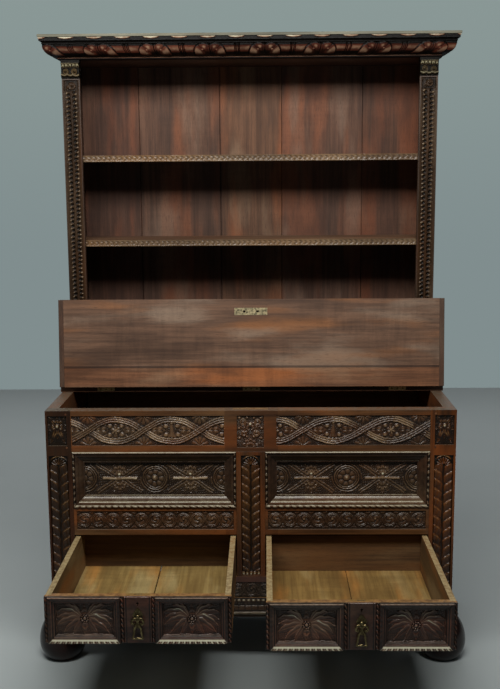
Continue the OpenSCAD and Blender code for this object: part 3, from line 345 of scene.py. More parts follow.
oak_back = oak("oak_back_boards", (54, 37, 28), (105, 76, 59), (124, 104, 88), (124, 76, 50), "z",
               patches=0.7, rough=0.7, shine=0.25, sawn=0.35, fade=(1500, 1930, 0.7),
               tones=list(zip((-900, *BACK_JOINTS), (
                   (0.76, 0.66, 0.64), (0.9, 0.86, 0.86), (1.12, 1.04, 0.92), (0.88, 0.84, 0.86),
                   (0.8, 0.68, 0.62)))))
oak_drawer = oak("oak_drawer", (96, 74, 38), (142, 118, 68), (156, 140, 96), (160, 112, 54), "y",
                 patches=0.8, streaks=0.55, rough=0.75, shine=0.25, sawn=0.5,
                 tones=[(-900, (1.0, 1.0, 1.0)), (0, (0.86, 0.78, 0.7))])
oak_drawer_side = oak("oak_drawer_side", (66, 48, 26), (112, 84, 46), (132, 112, 76), (124, 76, 32),
                      "y", patches=0.8, rough=0.72, shine=0.25, dust=0.8,
                      dust_colour=(152, 136, 100))
oak_drawer_back = oak("oak_drawer_back", (54, 36, 20), (98, 70, 41), (114, 90, 60), (108, 70, 36),
                      "x", rough=0.75, shine=0.25)
oak_front = oak("oak_drawer_front", (34, 21, 15), (66, 42, 30), (84, 60, 44), (84, 44, 28), "x",
                dust=0.85, dust_colour=(142, 106, 62))
# On carving the greying starts on less steep faces, painting highlights on the leaves' upper edges
# as well as dusting.
CARVED = dict(shine=0.32, bump=0.4, dust=0.3, dust_from=0.4)
carved_oak = oak("oak_carved", (38, 24, 15), (78, 54, 36), (98, 80, 58), (94, 56, 30), "x",
                 wear=0.45, ground=(22, 13, 8), **CARVED)
carved_panel = oak("oak_carved_panel", (38, 27, 18), (78, 58, 40), (98, 84, 64), (88, 56, 34),
                   "x", wear=0.5, ground=(26, 17, 11), **CARVED)
# The carving is darker on the left stile and lighter and more orange on the right.
carved_stile = oak("oak_carved_upright", (30, 17, 8), (68, 42, 20), (84, 60, 34), (90, 48, 17),
                   "z", shine=0.3, bump=0.35, dust=0.1, dust_from=0.4, wear=0.5,
                   worn=(122, 96, 64), ground=(18, 10, 4), dust_colour=(120, 98, 70),
                   tones=[(-900, (0.7, 0.7, 0.66)), (-300, (1.0, 0.92, 0.8)),
                          (300, (1.3, 1.16, 0.96))])
carved_dark = oak("oak_carved_dark", (32, 23, 16), (66, 50, 36), (88, 72, 56), (78, 50, 32), "x",
                  wear=0.45, worn=(132, 118, 94), ground=(14, 9, 6), **CARVED)
carved_pilaster = oak("oak_carved_pilaster", (32, 22, 14), (60, 44, 31), (86, 70, 54),
                      (76, 46, 25), "z", shine=0.1, bump=0.4, wear=0.6,
                      worn=(146, 130, 104), ground=(10, 6, 3))
carved_capital = oak("oak_carved_capital", (28, 22, 13), (62, 52, 35), (88, 78, 56), (70, 52, 29),
                     "x", shine=0.06, bump=0.4, wear=0.7, worn=(136, 130, 104),
                     ground=(9, 7, 4))
carved_red = oak("oak_carved_cornice", (30, 13, 8), (70, 34, 24), (92, 58, 44), (84, 37, 22),
                 "x", wear=0.6, worn=(134, 106, 84), ground=(6, 4, 3), shine=0.07,
                 bump=0.3)
carved_shelf = oak("oak_carved_shelf", (60, 44, 31), (106, 86, 64), (128, 108, 84), (114, 82, 50),
                   "x", wear=0.45, worn=(144, 124, 98), ground=(50, 35, 22),
                   shine=0.3, bump=0.3)
carved_moulding = oak("oak_carved_moulding", (38, 25, 17), (76, 54, 38), (100, 82, 62),
                      (92, 56, 32), "x", wear=0.6, worn=(150, 140, 116), shine=0.3,
                      bump=0.15, dust=0.6, dust_from=0.3, dust_colour=(150, 144, 122))
carved_drawer = oak("oak_carved_drawer", (42, 23, 17), (94, 63, 47), (114, 92, 72), (108, 58, 40),
                    "x", wear=0.5, worn=(148, 128, 106), ground=(17, 9, 6),
                    shine=0.32, bump=0.35, dust=0.12, dust_from=0.4, dust_colour=(160, 146, 128))
foot_polish = oak("foot_polish", (12, 5, 4), (32, 11, 7), (42, 19, 11), (50, 15, 7), "z",
                  rough=0.2, shine=0.32)
pale_brass = brass("pale_brass", (222, 206, 164), (122, 104, 70), 0.35)
dull_brass = brass("dull_brass", (172, 140, 88), (96, 68, 38), 0.5, 0.35)
pull_brass = brass("pull_brass", (120, 106, 74), (46, 38, 25), 0.8)
# The hinges' brass is paler and less metallic than the other brass: painted light, so that it shows
# in the shade under the lid's edge.
hinge_brass = brass("hinge_brass", (246, 214, 150), (190, 150, 98), 0.35, 0.2)
lock_brass = brass("lock_brass", (150, 118, 66), (96, 68, 36), 0.6, 0.35)

FINISH = {name: material for material, names in (
    (oak_stile, "front_stiles rear_stiles"), (oak_rail, "front_top_rail front_mid_rails"),
    (oak_front, "front_base_rail foot_pads base_moulding"), (oak_muntin, "front_muntin"),
    (oak_panel, "front_panels panel_mouldings"), (oak_side, "side_rails joint_pegs"),
    (oak_side_panel, "side_panels"), (oak_hidden, "chest_back_boards well_floor_ledgers"),
    (oak_hidden_y, "well_floor_boards drawer_runners drawer_guides"), (oak_top, "rear_top_board"),
    (oak_case, "case_side_left case_side_right case_boards"), (oak_shelf, "shelves"),
    (oak_pilaster, "pilaster_left pilaster_right"), (carved_capital, "pilaster_capitals"),
    (oak_back, "case_back_boards"), (carved_red, "cornice_moulding"),
    (oak_bare_top, "cornice_top_board"), (oak_lid, "lid_boards"), (oak_lid_end, "lid_end_strips"),
    (pale_brass, "chest_lock chest_lock_bolt catch_plate lid_screws"),
    (hinge_brass, "hinge_leaves_fixed hinge_leaves_lid hinge_pins"),
    (dull_brass, "hinge_screws_fixed"), (foot_polish, "bun_feet")) for name in names.split()}
DRAWER_FINISH = {
    "front": oak_front, "sides": oak_drawer_side, "back": oak_drawer_back, "bottom": oak_drawer,
    "mouldings": oak_front, "lock": lock_brass, "bolt": pale_brass, "pull_plate": pull_brass,
    "pull": pull_brass}
for name, thing in nodes.items():
    thing.data.materials.clear()
    thing.data.materials.append(FINISH.get(name) or DRAWER_FINISH[name.split("_", 2)[2]])


def fans(loops):
    """Six times the volume between the origin and faces (faces, corners, 3) cut into fans."""
    return (loops[:, :1] * np.cross(loops[:, 1:-1], loops[:, 2:])).sum()


def piece(name, points, quads, caps, look, relief, stands_for, angle=40):
    """A closed mesh from points in metres, faces of four corners and caps of many, turned to
    face outwards by the sign of its volume. look is (body, material, slot); its slot is not used.
    relief is a number per point that the carved materials read."""
    body, material, slot = look
    points = points.reshape(-1, 3)
    centred = points - points[0]
    volume = fans(centred[quads]) + sum(fans(centred[cap][None]) for cap in caps)
    way = -1 if volume < 0 else 1
    mesh = bpy.data.meshes.new(name)
    mesh.from_pydata(points.tolist(), [],
                     quads[:, ::way].tolist() + [cap[::way].tolist() for cap in caps])
    mesh.polygons.foreach_set("use_smooth", np.ones(len(quads) + len(caps), bool))
    mesh.set_sharp_from_angle(angle=math.radians(angle))
    if relief is not None:
        layer = mesh.attributes.new("relief", "FLOAT", "POINT")
        layer.data.foreach_set("value", np.ascontiguousarray(relief, np.float32).ravel())
    mesh.materials.append(material)
    thing = bpy.data.objects.new(name, mesh)
    bpy.context.scene.collection.objects.link(thing)
    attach(thing, body)
    if stands_for:
        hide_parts(*stands_for)


def slab(name, x, z, floor_y, carve, shape, look, step=1.7, shift=(0, 0), steady=False,
         stands_for=()):
    """A carved slab standing on a flat floor: carve(x, z, *shape) gives how far its face lies in
    front of floor_y, and its tone. The carver's hand wanders unless it is steady. Walls go down
    to the floor and one flat face closes it behind."""
    columns, rows = (max(2, int(round((b - a) / step)) + 1) for a, b in (x, z))
    u, v = np.meshgrid(np.linspace(*x, columns), np.linspace(*z, rows), indexing="ij")
    h, tone = carve(*((u, v) if steady else by_hand(u, v)), *shape)
    grid = np.arange(rows * columns).reshape(columns, rows)
    rim = np.concatenate([grid[:, 0], grid[-1, 1:], grid[-2::-1, -1], grid[0, -2:0:-1]])
    us, vs = (np.concatenate([a.ravel(), a.ravel()[rim]]) for a in (u, v))
    hs, tones = (np.concatenate([a.ravel(), np.zeros(len(rim))])
                 for a in (np.clip(h, 0.4, None), tone + 0 * h))
    low = grid.size + np.arange(len(rim))
    quads = np.concatenate([
        np.stack([grid[:-1, :-1], grid[1:, :-1], grid[1:, 1:], grid[:-1, 1:]], -1).reshape(-1, 4),
        np.stack([low, np.roll(low, -1), np.roll(rim, -1), rim], -1)])
    piece(name, at(us + shift[0], floor_y - hs + shift[1], vs), quads, [low[::-1]], look,
          tones, stands_for)


def loft(name, rings, look, relief=None, *, stands_for, angle=40):
    """A skin over rings (stations, points round, 3), closed by a flat face at each end."""
    index = np.arange(rings.shape[0] * rings.shape[1]).reshape(rings.shape[:2])
    following = np.roll(index, -1, 1)
    quads = np.stack([index[:-1], following[:-1], following[1:], index[1:]], -1).reshape(-1, 4)
    piece(name, rings, quads, [index[0, ::-1], index[-1]], look, relief, stands_for, angle)


def rise(a, b, x):
    """0 before a, 1 after b, and a smooth step between."""
    t = np.clip((x - a) / (b - a), 0, 1)
    return t * t * (3 - 2 * t)


def dome(d, r):
    """A half circle: 1 where d is 0, and 0 from r on."""
    return np.sqrt(np.clip(1 - (d / r) ** 2, 0, 1))


def turned(x, z, cx, cz, degrees):
    """x, z about a centre, with x along the given direction."""
    a = math.radians(degrees)
    dx, dz = x - cx, z - cz
    return dx * math.cos(a) + dz * math.sin(a), dz * math.cos(a) - dx * math.sin(a)


def by_hand(x, z):
    """The same places moved by up to a millimetre along slow waves, so no two leaves are alike."""
    return (x + 0.8 * np.sin(0.083 * z + 0.05 * x) + 0.45 * np.sin(0.31 * x - 0.23 * z),
            z + 0.8 * np.sin(0.071 * x - 0.07 * z) + 0.45 * np.sin(0.27 * z + 0.29 * x))


def leaf(x, z, cx, cz, degrees, length, width, lobes=3):
    """A lobed leaf from a point: its half width is width * sin(pi t ** 0.8) waved by its lobes,
    its face is a half round across, cut by a midrib and by slanting veins."""
    a, b = turned(x, z, cx, cz, degrees)
    t = np.clip(a / length, 0.001, 0.999)
    wide = width * np.sin(np.pi * t ** 0.8) * (1 + 0.24 * np.cos(2 * np.pi * (lobes * t - 0.3)))
    inside = (a > 0) & (a < length)
    s = np.abs(b) / np.maximum(wide, 0.05)
    h = dome(s, 1.0) * (0.68 + 0.32 * np.cos(2 * np.pi * (lobes * t + 0.35 * s)))
    h = h - 0.42 * np.exp(-(b / 1.3) ** 2) * (t < 0.9)
    return np.where(inside, np.maximum(h, 0), 0)


def ring(x, z, cx, cz, radius, width):
    """A half-round ring."""
    return dome(np.hypot(x - cx, z - cz) - radius, width)


def boss(x, z, cx, cz, radius):
    """A half ball: the root of one less the square of the distance over its radius."""
    return dome(np.hypot(x - cx, z - cz), radius)


def curl(x, z, cx, cz, radius, hand, width=2.6):
    """A scroll: a half-round line whose distance from its eye grows with the turn, round a bead."""
    r = np.hypot(x - cx, z - cz)
    a = (np.arctan2(z - cz, hand * (x - cx)) / (2 * np.pi)) % 1.0
    line = np.minimum(np.abs(r - radius * (0.45 + 0.55 * a)), np.abs(r - radius * (1.0 + 0.4 * a)))
    return most(dome(line, width) * (r < radius * 1.35), 0.95 * dome(r, radius * 0.3))


def fan(x, z, cx, cz, radius, ribs, start, stop):
    """Ribs spreading from a point between two directions, rounded over at their ends."""
    r = np.hypot(x - cx, z - cz)
    a = np.degrees(np.arctan2(z - cz, x - cx)) % 360
    t = ((a - start) % 360) / ((stop - start) % 360 or 360)
    rib = np.abs(np.sin(np.pi * ribs * np.clip(t, 0, 1))) ** 0.6
    edge = radius * (0.84 + 0.16 * rib)
    return np.where((t <= 1) & (r < edge), rib * dome(np.clip(r / edge - 0.45, 0, 1), 0.56), 0)


def most(*heights):
    """The highest of several heights at each place."""
    return reduce(np.maximum, heights)


def undergrowth(x, z, size, low, high):
    """Short strokes of the gouge that fill the ground: two sine waves, each bent by the other."""
    a = np.sin((x + 0.5 * z) * 0.42 / size + 1.7 * np.sin(z * 0.13 / size))
    b = np.sin((z - 0.6 * x) * 0.36 / size + 1.9 * np.sin(x * 0.11 / size))
    return low + (high - low) * np.abs(a) ** 0.8 * np.abs(b) ** 0.6


def straps(x, z, middle, marks, reach):
    """Two ribbed straps that swing against each other as sine waves, crossing at the marks and
    passing over and under in turn. The falling lengths are painted brighter and the rising darker:
    a painted highlight and painted shade by the strap's slope."""
    marks = np.asarray(marks, float)
    phase = np.interp(x, marks, np.arange(len(marks)))
    pitch = np.gradient(marks)[np.clip(np.round(phase).astype(int), 0, len(marks) - 1)]
    near = np.abs(phase - np.round(phase)) * pitch
    total, tone = np.zeros_like(x), np.zeros_like(x)
    for hand in (1, -1):
        path = middle + hand * reach * np.sin(np.pi * phase)
        slope = hand * reach * np.pi / pitch * np.cos(np.pi * phase)
        d = np.abs(z - path) / np.sqrt(1 + slope ** 2)
        over = (np.round(phase).astype(int) % 2 == 0) == (hand > 0)
        body = rise(11.0, 9.2, d) * (2.6 + 2.9 * np.abs(np.cos(np.pi * d / 7.4)) ** 0.8)
        dip = np.where(over, 0.0, 2.6 * rise(24, 13, near))
        top = np.maximum(body - dip, 0)
        # Painted light by slope: falling lengths lighter, rising darker; a slow wave varies the
        # tone along the rail.
        rubbed = (1 - 0.34 * np.tanh(1.6 * slope)) * (1 + 0.25 * np.sin(0.05 * x + hand))
        tone = np.where(top > total, top / 7.0 * rubbed, tone)
        total = np.maximum(total, top)
    return total, tone


def oval_fill(x, z, cx, cz, kind):
    """What grows in one oval of the straps: a broad leaf to each end, berries round the middle,
    and in it a bell or a rose."""
    ends = most(*(4.8 * leaf(x, z, cx + s * 24, cz + 1, 90 - s * 90, 56, 19, 3) for s in (-1, 1)))
    berries = most(*(5.2 * boss(x, z, cx + s * a, cz + b, r) for s in (-1, 1) for a, b, r in
                     ((20, 15, 8.6), (21, -16, 8.6), (10, 30, 6.2), (11, -31, 6.2))))
    leaves = most(*(4.2 * leaf(x, z, cx + s * 22, cz + t * 19, 90 - s * 90 + s * t * 12, 36, 9.5, 2)
                    for s in (-1, 1) for t in (-1, 1)))
    if kind == "bell":
        t = np.clip((cz + 22 - z) / 46, 0, 1)
        wide = 4 + 8 * t ** 1.3 + 5 * rise(0.78, 1.0, t)
        middle = most(4.0 * dome(x - cx, wide) * ((z < cz + 22) & (z > cz - 24)),
                      5.4 * boss(x, z, cx, cz + 28, 7), 4.8 * boss(x, z, cx, cz - 31, 6))
    else:
        middle = most(5.0 * fan(x, z, cx, cz, 17, 6, 10, 369.9), 5.6 * boss(x, z, cx, cz + 1, 6.5),
                      *(4.8 * leaf(x, z, cx, cz + s * 8, s * 90 % 360, 26, 6, 2) for s in (1, -1)))
    return most(ends, berries, leaves, middle)


def strapwork(x, z, marks, low, high):
    """The top rail's carving: straps, ovals filled with leaves, and fans in the points above and
    below each crossing."""
    middle = (low + high) / 2
    h, strap_tone = straps(x, z, middle, marks, 39)
    centres = [(a + b) / 2 for a, b in zip(marks[:-1], marks[1:])]
    bell = sorted(centres, key=abs)[1]
    fill = most(*(oval_fill(x, z, c, middle, "bell" if c == bell else "spray") for c in centres))
    corners = most(*(4.2 * fan(x, z, m, middle + s * 51, 30, 5, 180 if s > 0 else 0,
                               0 if s > 0 else 180) for m in marks for s in (-1, 1)))
    gap = 1.0 - rise(0.2, 0.9, h)
    lit = most(fill, corners) * gap
    fill = undergrowth(x, z, 0.8, 0.4, 2.4) * gap
    return most(h, lit, fill), most(strap_tone, lit / 5.4, fill / 7)


def centre_block(x, z):
    """Close foliage round the keyhole: a boss and curls above, berries, and a fan at the foot."""
    cz = 853
    hx, hz = by_hand(x, z)
    h = undergrowth(hx, hz, 0.62, 0.5, 2.4)
    h = most(h, *(4.6 * leaf(hx, hz, 0, cz, a, 42, 10, 4) for a in (12, 50, 130, 168, 212, 328)))
    h = most(h, *(4.8 * curl(hx, hz, s * 24, 874, 8.5, s) for s in (-1, 1)))
    h = most(h, *(4.6 * curl(hx, hz, s * 22, 834, 7.5, -s) for s in (-1, 1)))
    h = most(h, *(5.0 * leaf(hx, hz, 0, 788, a, 36, 8) for a in (18, 54, 90, 126, 162)))
    h = most(h, *(5.2 * boss(hx, hz, s * a, b, r) for s in (-1, 1) for a, b, r in
                  ((37, 888, 5), (38, 852, 5), (37, 818, 5), (12, 888, 4.4), (12, 822, 4.6))))
    h = most(h, 5.7 * boss(hx, hz, 0, 868, 6.5))
    # The keyhole is a shallow dip painted with the darkest tone, as shade in the hole.
    hole = (np.hypot(x, z - cz) < 3.4) | ((np.abs(x) < 1.6) & (z < cz) & (z > cz - 8))
    return np.where(hole, 0.4, h), np.where(hole, 0, h / 6 + 0.55 * boss(hx, hz, 0, 868, 6))


def corner_flower(x, z, cx, cz):
    """Petals of uneven length round a boss, the longest two drawn down and outwards."""
    h = undergrowth(x, z, 0.8, 0.5, 2.2)
    for a, length, width in ((248, 66, 10), (292, 66, 10), (205, 34, 9), (335, 34, 9), (90, 34, 9),
                             (50, 42, 8), (130, 42, 8), (10, 32, 7), (170, 32, 7), (270, 46, 7)):
        h = most(h, 4.8 * leaf(x, z, cx, cz, a, length, width, 2))
    top = boss(x, z, cx, cz, 7.5)
    return most(h, 5.8 * top), most(rise(0.8, 4.6, h) * 0.95, 1.35 * top)


def leaf_band(x, z, cx, half, low, high, pitch, foot=False):
    """Two rows of leaves overlapping like feathers on each side of a dark groove. A leaf's upper
    edge is the line z = 31 sqrt(d / half); its face rises towards that edge and rounds over."""
    d = np.abs(x - cx) / half
    line = (z - low - 31 * np.sqrt(d)) / pitch + 0.12 * np.sign(x - cx)
    t = line - np.floor(line)
    edge = dome(np.clip((t - 0.8) / 0.2, 0, 1), 1.0)
    flute = 1 - 0.16 * np.cos(2 * np.pi * (2.5 * d + 0.6 * t))
    side = rise(0.03, 0.16, d) * rise(0.99, 0.84, d)
    h = 0.6 + (0.9 + 3.9 * t ** 0.8) * edge * flute * side
    # Painted highlight: a thin glint along each leaf's upper edge, and the tone painted lighter up
    # the leaf towards that edge.
    glint = dome(t - 0.86, 0.06) * rise(0.12, 0.35, d) * rise(1.0, 0.85, d)
    tone = 0.12 + side * (0.13 + 0.25 * t + 0.52 * glint)
    if foot:
        t = np.abs(np.abs((x - cx) / 13 + 0.5) % 1.0 - 0.5) * 2
        cup = 4.6 * dome(t, 0.9) * dome(z - low - 5, 9)
        h, tone = np.where(z < low + 15, most(cup, 0.6), h), np.where(z < low + 15, cup / 3.4, tone)
    top = high - 31
    arch = ring(x, z, cx, top, half - 4, 3.0) * (z > top - 3)
    rays = fan(x, z, cx, top - 2, half - 7, 7, 0, 180)
    knob = boss(x, z, cx, top + 3, 6)
    a = most(5.2 * rays, 5.2 * arch, 5.6 * knob, 0.5 + 0 * x)
    # The arch is painted paler towards its top, a painted highlight.
    b = most(0.5 * rays, 1.15 * arch * rise(-4, 18, (z - top) - np.abs(x - cx) * 0.6), 0.8 * knob)
    h, tone = np.where(z > top - 2, a, h), np.where(z > top - 2, b, tone)
    return h, tone


def roundel_row(x, z, x0, pitch, count, cz, half):
    """A row of double rings, each round a boss and three curled blades, with veined leaves in
    the corners between them."""
    k = np.clip(np.round((x - x0) / pitch), 0, count - 1)
    dx, dz = x - (x0 + k * pitch), z - cz
    r, a = np.hypot(dx, dz), np.arctan2(dz, dx)
    blade = np.abs(np.sin(1.5 * (a + 0.11 * r + 1.3 * k))) ** 0.7
    h = 1.0 + 3.0 * blade * rise(18, 15, r) * rise(3, 7, r)
    h = most(h, 4.2 * dome(r - 19.5, 2.2), 3.8 * dome(r - 23.6, 1.8), 5.2 * boss(dx, dz, 0, 3, 5.8))
    edge, up = np.abs(dx) - pitch / 2, np.abs(dz)
    for turn in (-42, 0, 42):
        h = most(h, 4.4 * leaf(edge, up, 0, half + 1, 270 + turn, 20, 5.2, 2) * (r > 24.5))
    h = most(h, undergrowth(x, z, 0.6, 0.6, 2.2) * (r > 25))
    # Painted highlight: a pale spot on the upper part of each boss, and the middle corner leaf
    # paler.
    bright = 0.9 * boss(dx, dz - 3, 0, 2, 4) + 0.5 * leaf(edge, up, 0, half + 1, 270, 20, 5, 2)
    return h, h / 7.5 + 0.35 * bright


def panel_scene(x, z, cx, half_w, cz):
    """The front panels' carving: a ringed roundel of petals, half roundels at both ends, a bar
    each way between them crossed by palmettes, slanting ribbed straps, and low leaves all over."""
    def roundel(at_x):
        r = np.hypot(x - at_x, z - cz)
        a = np.arctan2(z - cz, x - at_x)
        petals = 3.8 * np.abs(np.cos(4 * a + 0.4)) ** 0.6 * dome(r - 22, 9)
        broken = 3.6 * dome(r - 50, 2.6) * rise(0.1, 0.3, np.abs(np.sin(a + 0.3)))
        return most(4.0 * dome(r - 41, 2.8), 3.4 * dome(r - 34.5, 2.2), petals, broken,
                    4.8 * dome(r, 11.5)), r

    rounds = [roundel(cx + s * (half_w + 4)) for s in (0, -1, 1)]
    clear = np.minimum.reduce([r for _, r in rounds]) > 53
    dz = z - cz
    along = np.abs(x - cx)
    bar = dome(dz + 1, 6.4 - (cx > 0)) * rise(60, 64, along) * rise(184, 180, along)
    low = undergrowth(x, z, 1.0, 0.5, 2.8)
    # The bars are painted pale on their upper half only, a painted highlight; in the right panel
    # they are painted less pale.
    h, tone = 4.6 * bar, (1.3 - 0.35 * (cx > 0)) * bar * rise(-5, 1, dz + 1)
    for s in (-1, 1):
        px = cx + s * 123
        for up in (-1, 1):
            u, v = turned(x, z, px + 14, cz + up * 6, math.degrees(math.atan2(up * 46, 66)))
            u2, v2 = turned(x, z, px - 14, cz + up * 6, math.degrees(math.atan2(up * 46, -66)))
            for a, b in ((u, v), (u2, v2)):
                ridges = np.abs(np.cos(np.pi * (b / 9.0 + 0.5))) ** 1.4
                h = most(h, 3.8 * rise(9.2, 8.0, np.abs(b)) * ((a > 0) & (a < 78)) * ridges)
            h = most(h, *(4.9 * leaf(x, z, px, cz + up * 9, up * a, length, 10.5, 3)
                          for a, length in ((90, 48), (62, 46), (118, 46), (36, 38), (144, 38))))
        h = most(h, 4.9 * boss(x, z, px, cz, 9))
        knob = boss(x, z, px, cz + 15, 6.0)
        h, tone = most(h, 5.0 * knob), most(tone * (np.abs(x - px) > 9), 1.5 * knob)
    tone = most(tone, h / 5.0, low / 8.5)
    h = np.where(clear, most(h, low), 0)
    ringed = most(*(v for v, _ in rounds))
    h = most(h, ringed, 0.9 + 0 * x)
    # Painted highlight: a pale spot on the upper left of the middle roundel's boss.
    eye = boss(x, z, cx - 1, cz + 4, 5.5)
    return h, most(ringed / 5.4, tone * clear, 1.35 * eye)


# Fronds of a drawer's flower: rise at the tip, arch, length (left ones below 0), half width,
# painted highlight
FRONDS = ((-50, 0, -36, 8, 0.2), (51, 0, 34, 8, 0.3), (-50, 0, 38, 8, 0.2), (50, 0, -36, 8, 0.4),
          (-46, 4, -66, 9.5, 0.25), (-20, 8, -84, 10.5, 0.35), (44, 7, -58, 9.5, 0.55),
          (4, 7, -82, 9.5, 0.2), (21, 12, -86, 9.5, 0.8), (-47, 6, 74, 10, 0.35),
          (43, 8, 64, 9.5, 0.5), (-3, 6, 84, 9.5, 0.25), (20, 9, 85, 9.5, 0.4),
          (-25, 12, 80, 11, 0.9))


def drawer_flower(x, z, cx, half_w, cz, half_h):
    """Long fronds spreading like a palm from a beaded rosette, inside a plain edge. A frond's
    line is a parabola that bends down at its tip; its face rises from the lower edge to a crest
    near the upper one, with flutes along it. A leaf stands above and one hangs below."""
    dx, dz = np.abs(x - cx), z - cz
    low = undergrowth(x, z, 0.8, 0.4, 1.8)
    h, tone = low, 0.08 + 0.16 * low
    for end, bulge, length, width, glint in FRONDS:
        on = (x - cx) * length > 0
        t = np.clip((dx - 6) / (abs(length) - 6), 0.001, 0.999)
        line = end * t + 4 * bulge * t * (1 - t)
        slope = (end + 4 * bulge * (1 - 2 * t)) / abs(length)
        taper = np.sin(np.pi * t ** 0.8)
        wide = 1.45 * width * taper ** 0.7 * (1 + 0.13 * np.cos(6.3 * (2.6 * t)))
        across = (dz - line) / np.sqrt(1 + slope ** 2) / np.maximum(wide, 0.05)
        on = on & (dx > 6) & (dx < abs(length))
        body = rise(-1.0, -0.7, across) * rise(1.0, 0.85, across) * (0.7 + 0.3 * across) * on
        flute = 1 - 0.42 * np.abs(np.sin(np.pi * 1.5 * across + 1.0)) ** 3 * (across < 0.6)
        one = 4.1 * body * flute
        # Painted highlight along each frond's crest near its upper edge, as strong as its last
        # number.
        lit = 0.12 + 0.52 * body * flute + glint * dome(across - 0.74, 0.18) * taper
        tone = np.where((one > h) & on, lit, tone)
        h = most(h, one)
    for up in (90, 270):
        one = leaf(x, z, cx, cz, up, 48, 10.5, 3)
        tone = np.where(4.0 * one > h, 0.2 + 0.65 * one, tone)
        h = most(h, 4.0 * one)
    r, a = np.hypot(dx, dz), np.arctan2(dz, x - cx)
    beads = dome(np.hypot(r - 10.4, 10.4 * (((a / (2 * np.pi) * 9) % 1.0) - 0.5) * 0.698), 3.3)
    rose = most(beads, 1.1 * dome(r, 5.4))
    h = np.where(r < 14.6, most(4.3 * rose, 0.6), h)
    tone = np.where(r < 14.6, 0.05 + 0.85 * rose, tone)
    border = np.minimum(half_w - dx, half_h - np.abs(dz))
    h = np.where(border < 2.4, 4.02, h)
    return h, np.where(border < 2.4, 0.3, tone)


def pilaster_rows(x, z, cx, half, low, high, pitch):
    """Two sunk columns parted by a plain rib, with a curl at the top: along each, short bars
    alternate with round holes, and the bars are painted bright towards the margin, for rubbing
    and as painted highlights."""
    d = x - cx
    h, tone = 5.3 + 0 * x, 0.42 + 0 * x
    for place, lean, shift in ((-12.4, 0.02, 0.0), (12.4, 0.012, 0.42)):
        out = (d - place) * np.sign(place)
        t = ((z - low) / pitch - lean * (d - place) + shift) % 1.0 - 0.4
        bed = rise(9.6, 8.4, np.abs(out))
        hole = dome(np.hypot((out + 2.4) / 5.8, t / 0.32), 1.0)
        bar = dome(np.hypot((out - 1) / 8.8, (np.abs(t) - 0.5) / 0.21), 1.0)
        sunk = most(3.2 - 2.8 * hole, 5.2 * bar)
        lit = most(0.34 - 0.5 * hole, (0.58 + 0.5 * rise(-4, 6, out)) * bar)
        h, tone = h + bed * (sunk - h), tone + bed * (lit - tone)
    margin = rise(half - 5.0, half - 3.6, np.abs(d))
    scroll = curl(x, z, cx + 3, high - 20, 9.5, 1, 3.0)
    tip = leaf(x, z, cx - 13, high - 36, 80, 28, 7, 2)
    top = z > high - 38
    h = np.where(top, most(5.0 * scroll, 4.6 * tip, 0.6 + 0 * x), h)
    tone = np.where(top, most(0.72 * scroll, 0.66 * tip, 0.2 + 0 * x), tone)
    return most(h, 5.7 * margin), most(tone, 0.5 * margin)


def capital_face(x, z, cx, low, high):
    """A capital's face: upright leaf tips along the top, curls in the dark middle, and a
    scalloped roll at the foot."""
    tips = most(*(leaf(x, z, cx + a, high - 21, 90 + a * 0.4, 30, 6.6, 2) for a in
                  (-27, -13.5, 0, 13.5, 27)))
    curls = most(*(curl(x, z, cx + s * 15, low + 22, 8.0, s, 2.4) for s in (-1, 1)))
    scallop = low + 11 - 3.4 * np.abs(np.cos(np.pi * (x - cx) / 21))
    roll = dome(z - scallop, 6.0)
    lip = rise(high - 3.5, high - 2.5, z)
    h = most(5.0 * tips, 4.4 * curls, 5.0 * roll, 5.0 * lip, 0.6 + 0 * x)
    # Painted highlights: the leaf tips pale only on their upper part, and the roll only on its
    # upper half.
    return h, most(1.36 * tips * rise(low + 30, low + 42, z), 0.66 * curls,
                   0.9 * roll * rise(-4, 2, z - scallop), 0.8 * lip * (tips > 0.1))


def running_leaf(x, z, cz, half, pitch):
    """A shelf's edge: slanting leaves between two fillets."""
    dz = z - cz
    t = ((x + 0.9 * dz) / pitch) % 1.0
    u = ((x - 0.9 * dz) / pitch) % 1.0
    leafy = np.maximum(np.sin(np.pi * t) ** 1.5 * (dz > 0), np.sin(np.pi * u) ** 1.5 * (dz <= 0))
    fillet = rise(half - 4.5, half - 3.5, np.abs(dz))
    h = most(2.4 * leafy * (np.abs(dz) < half - 4), 2.6 * fillet, 0.5 + 0 * x)
    return h, most(0.75 * leafy, 0.7 * fillet, 0.3 + 0 * x)


def around(centre, half):
    return centre - half, centre + half


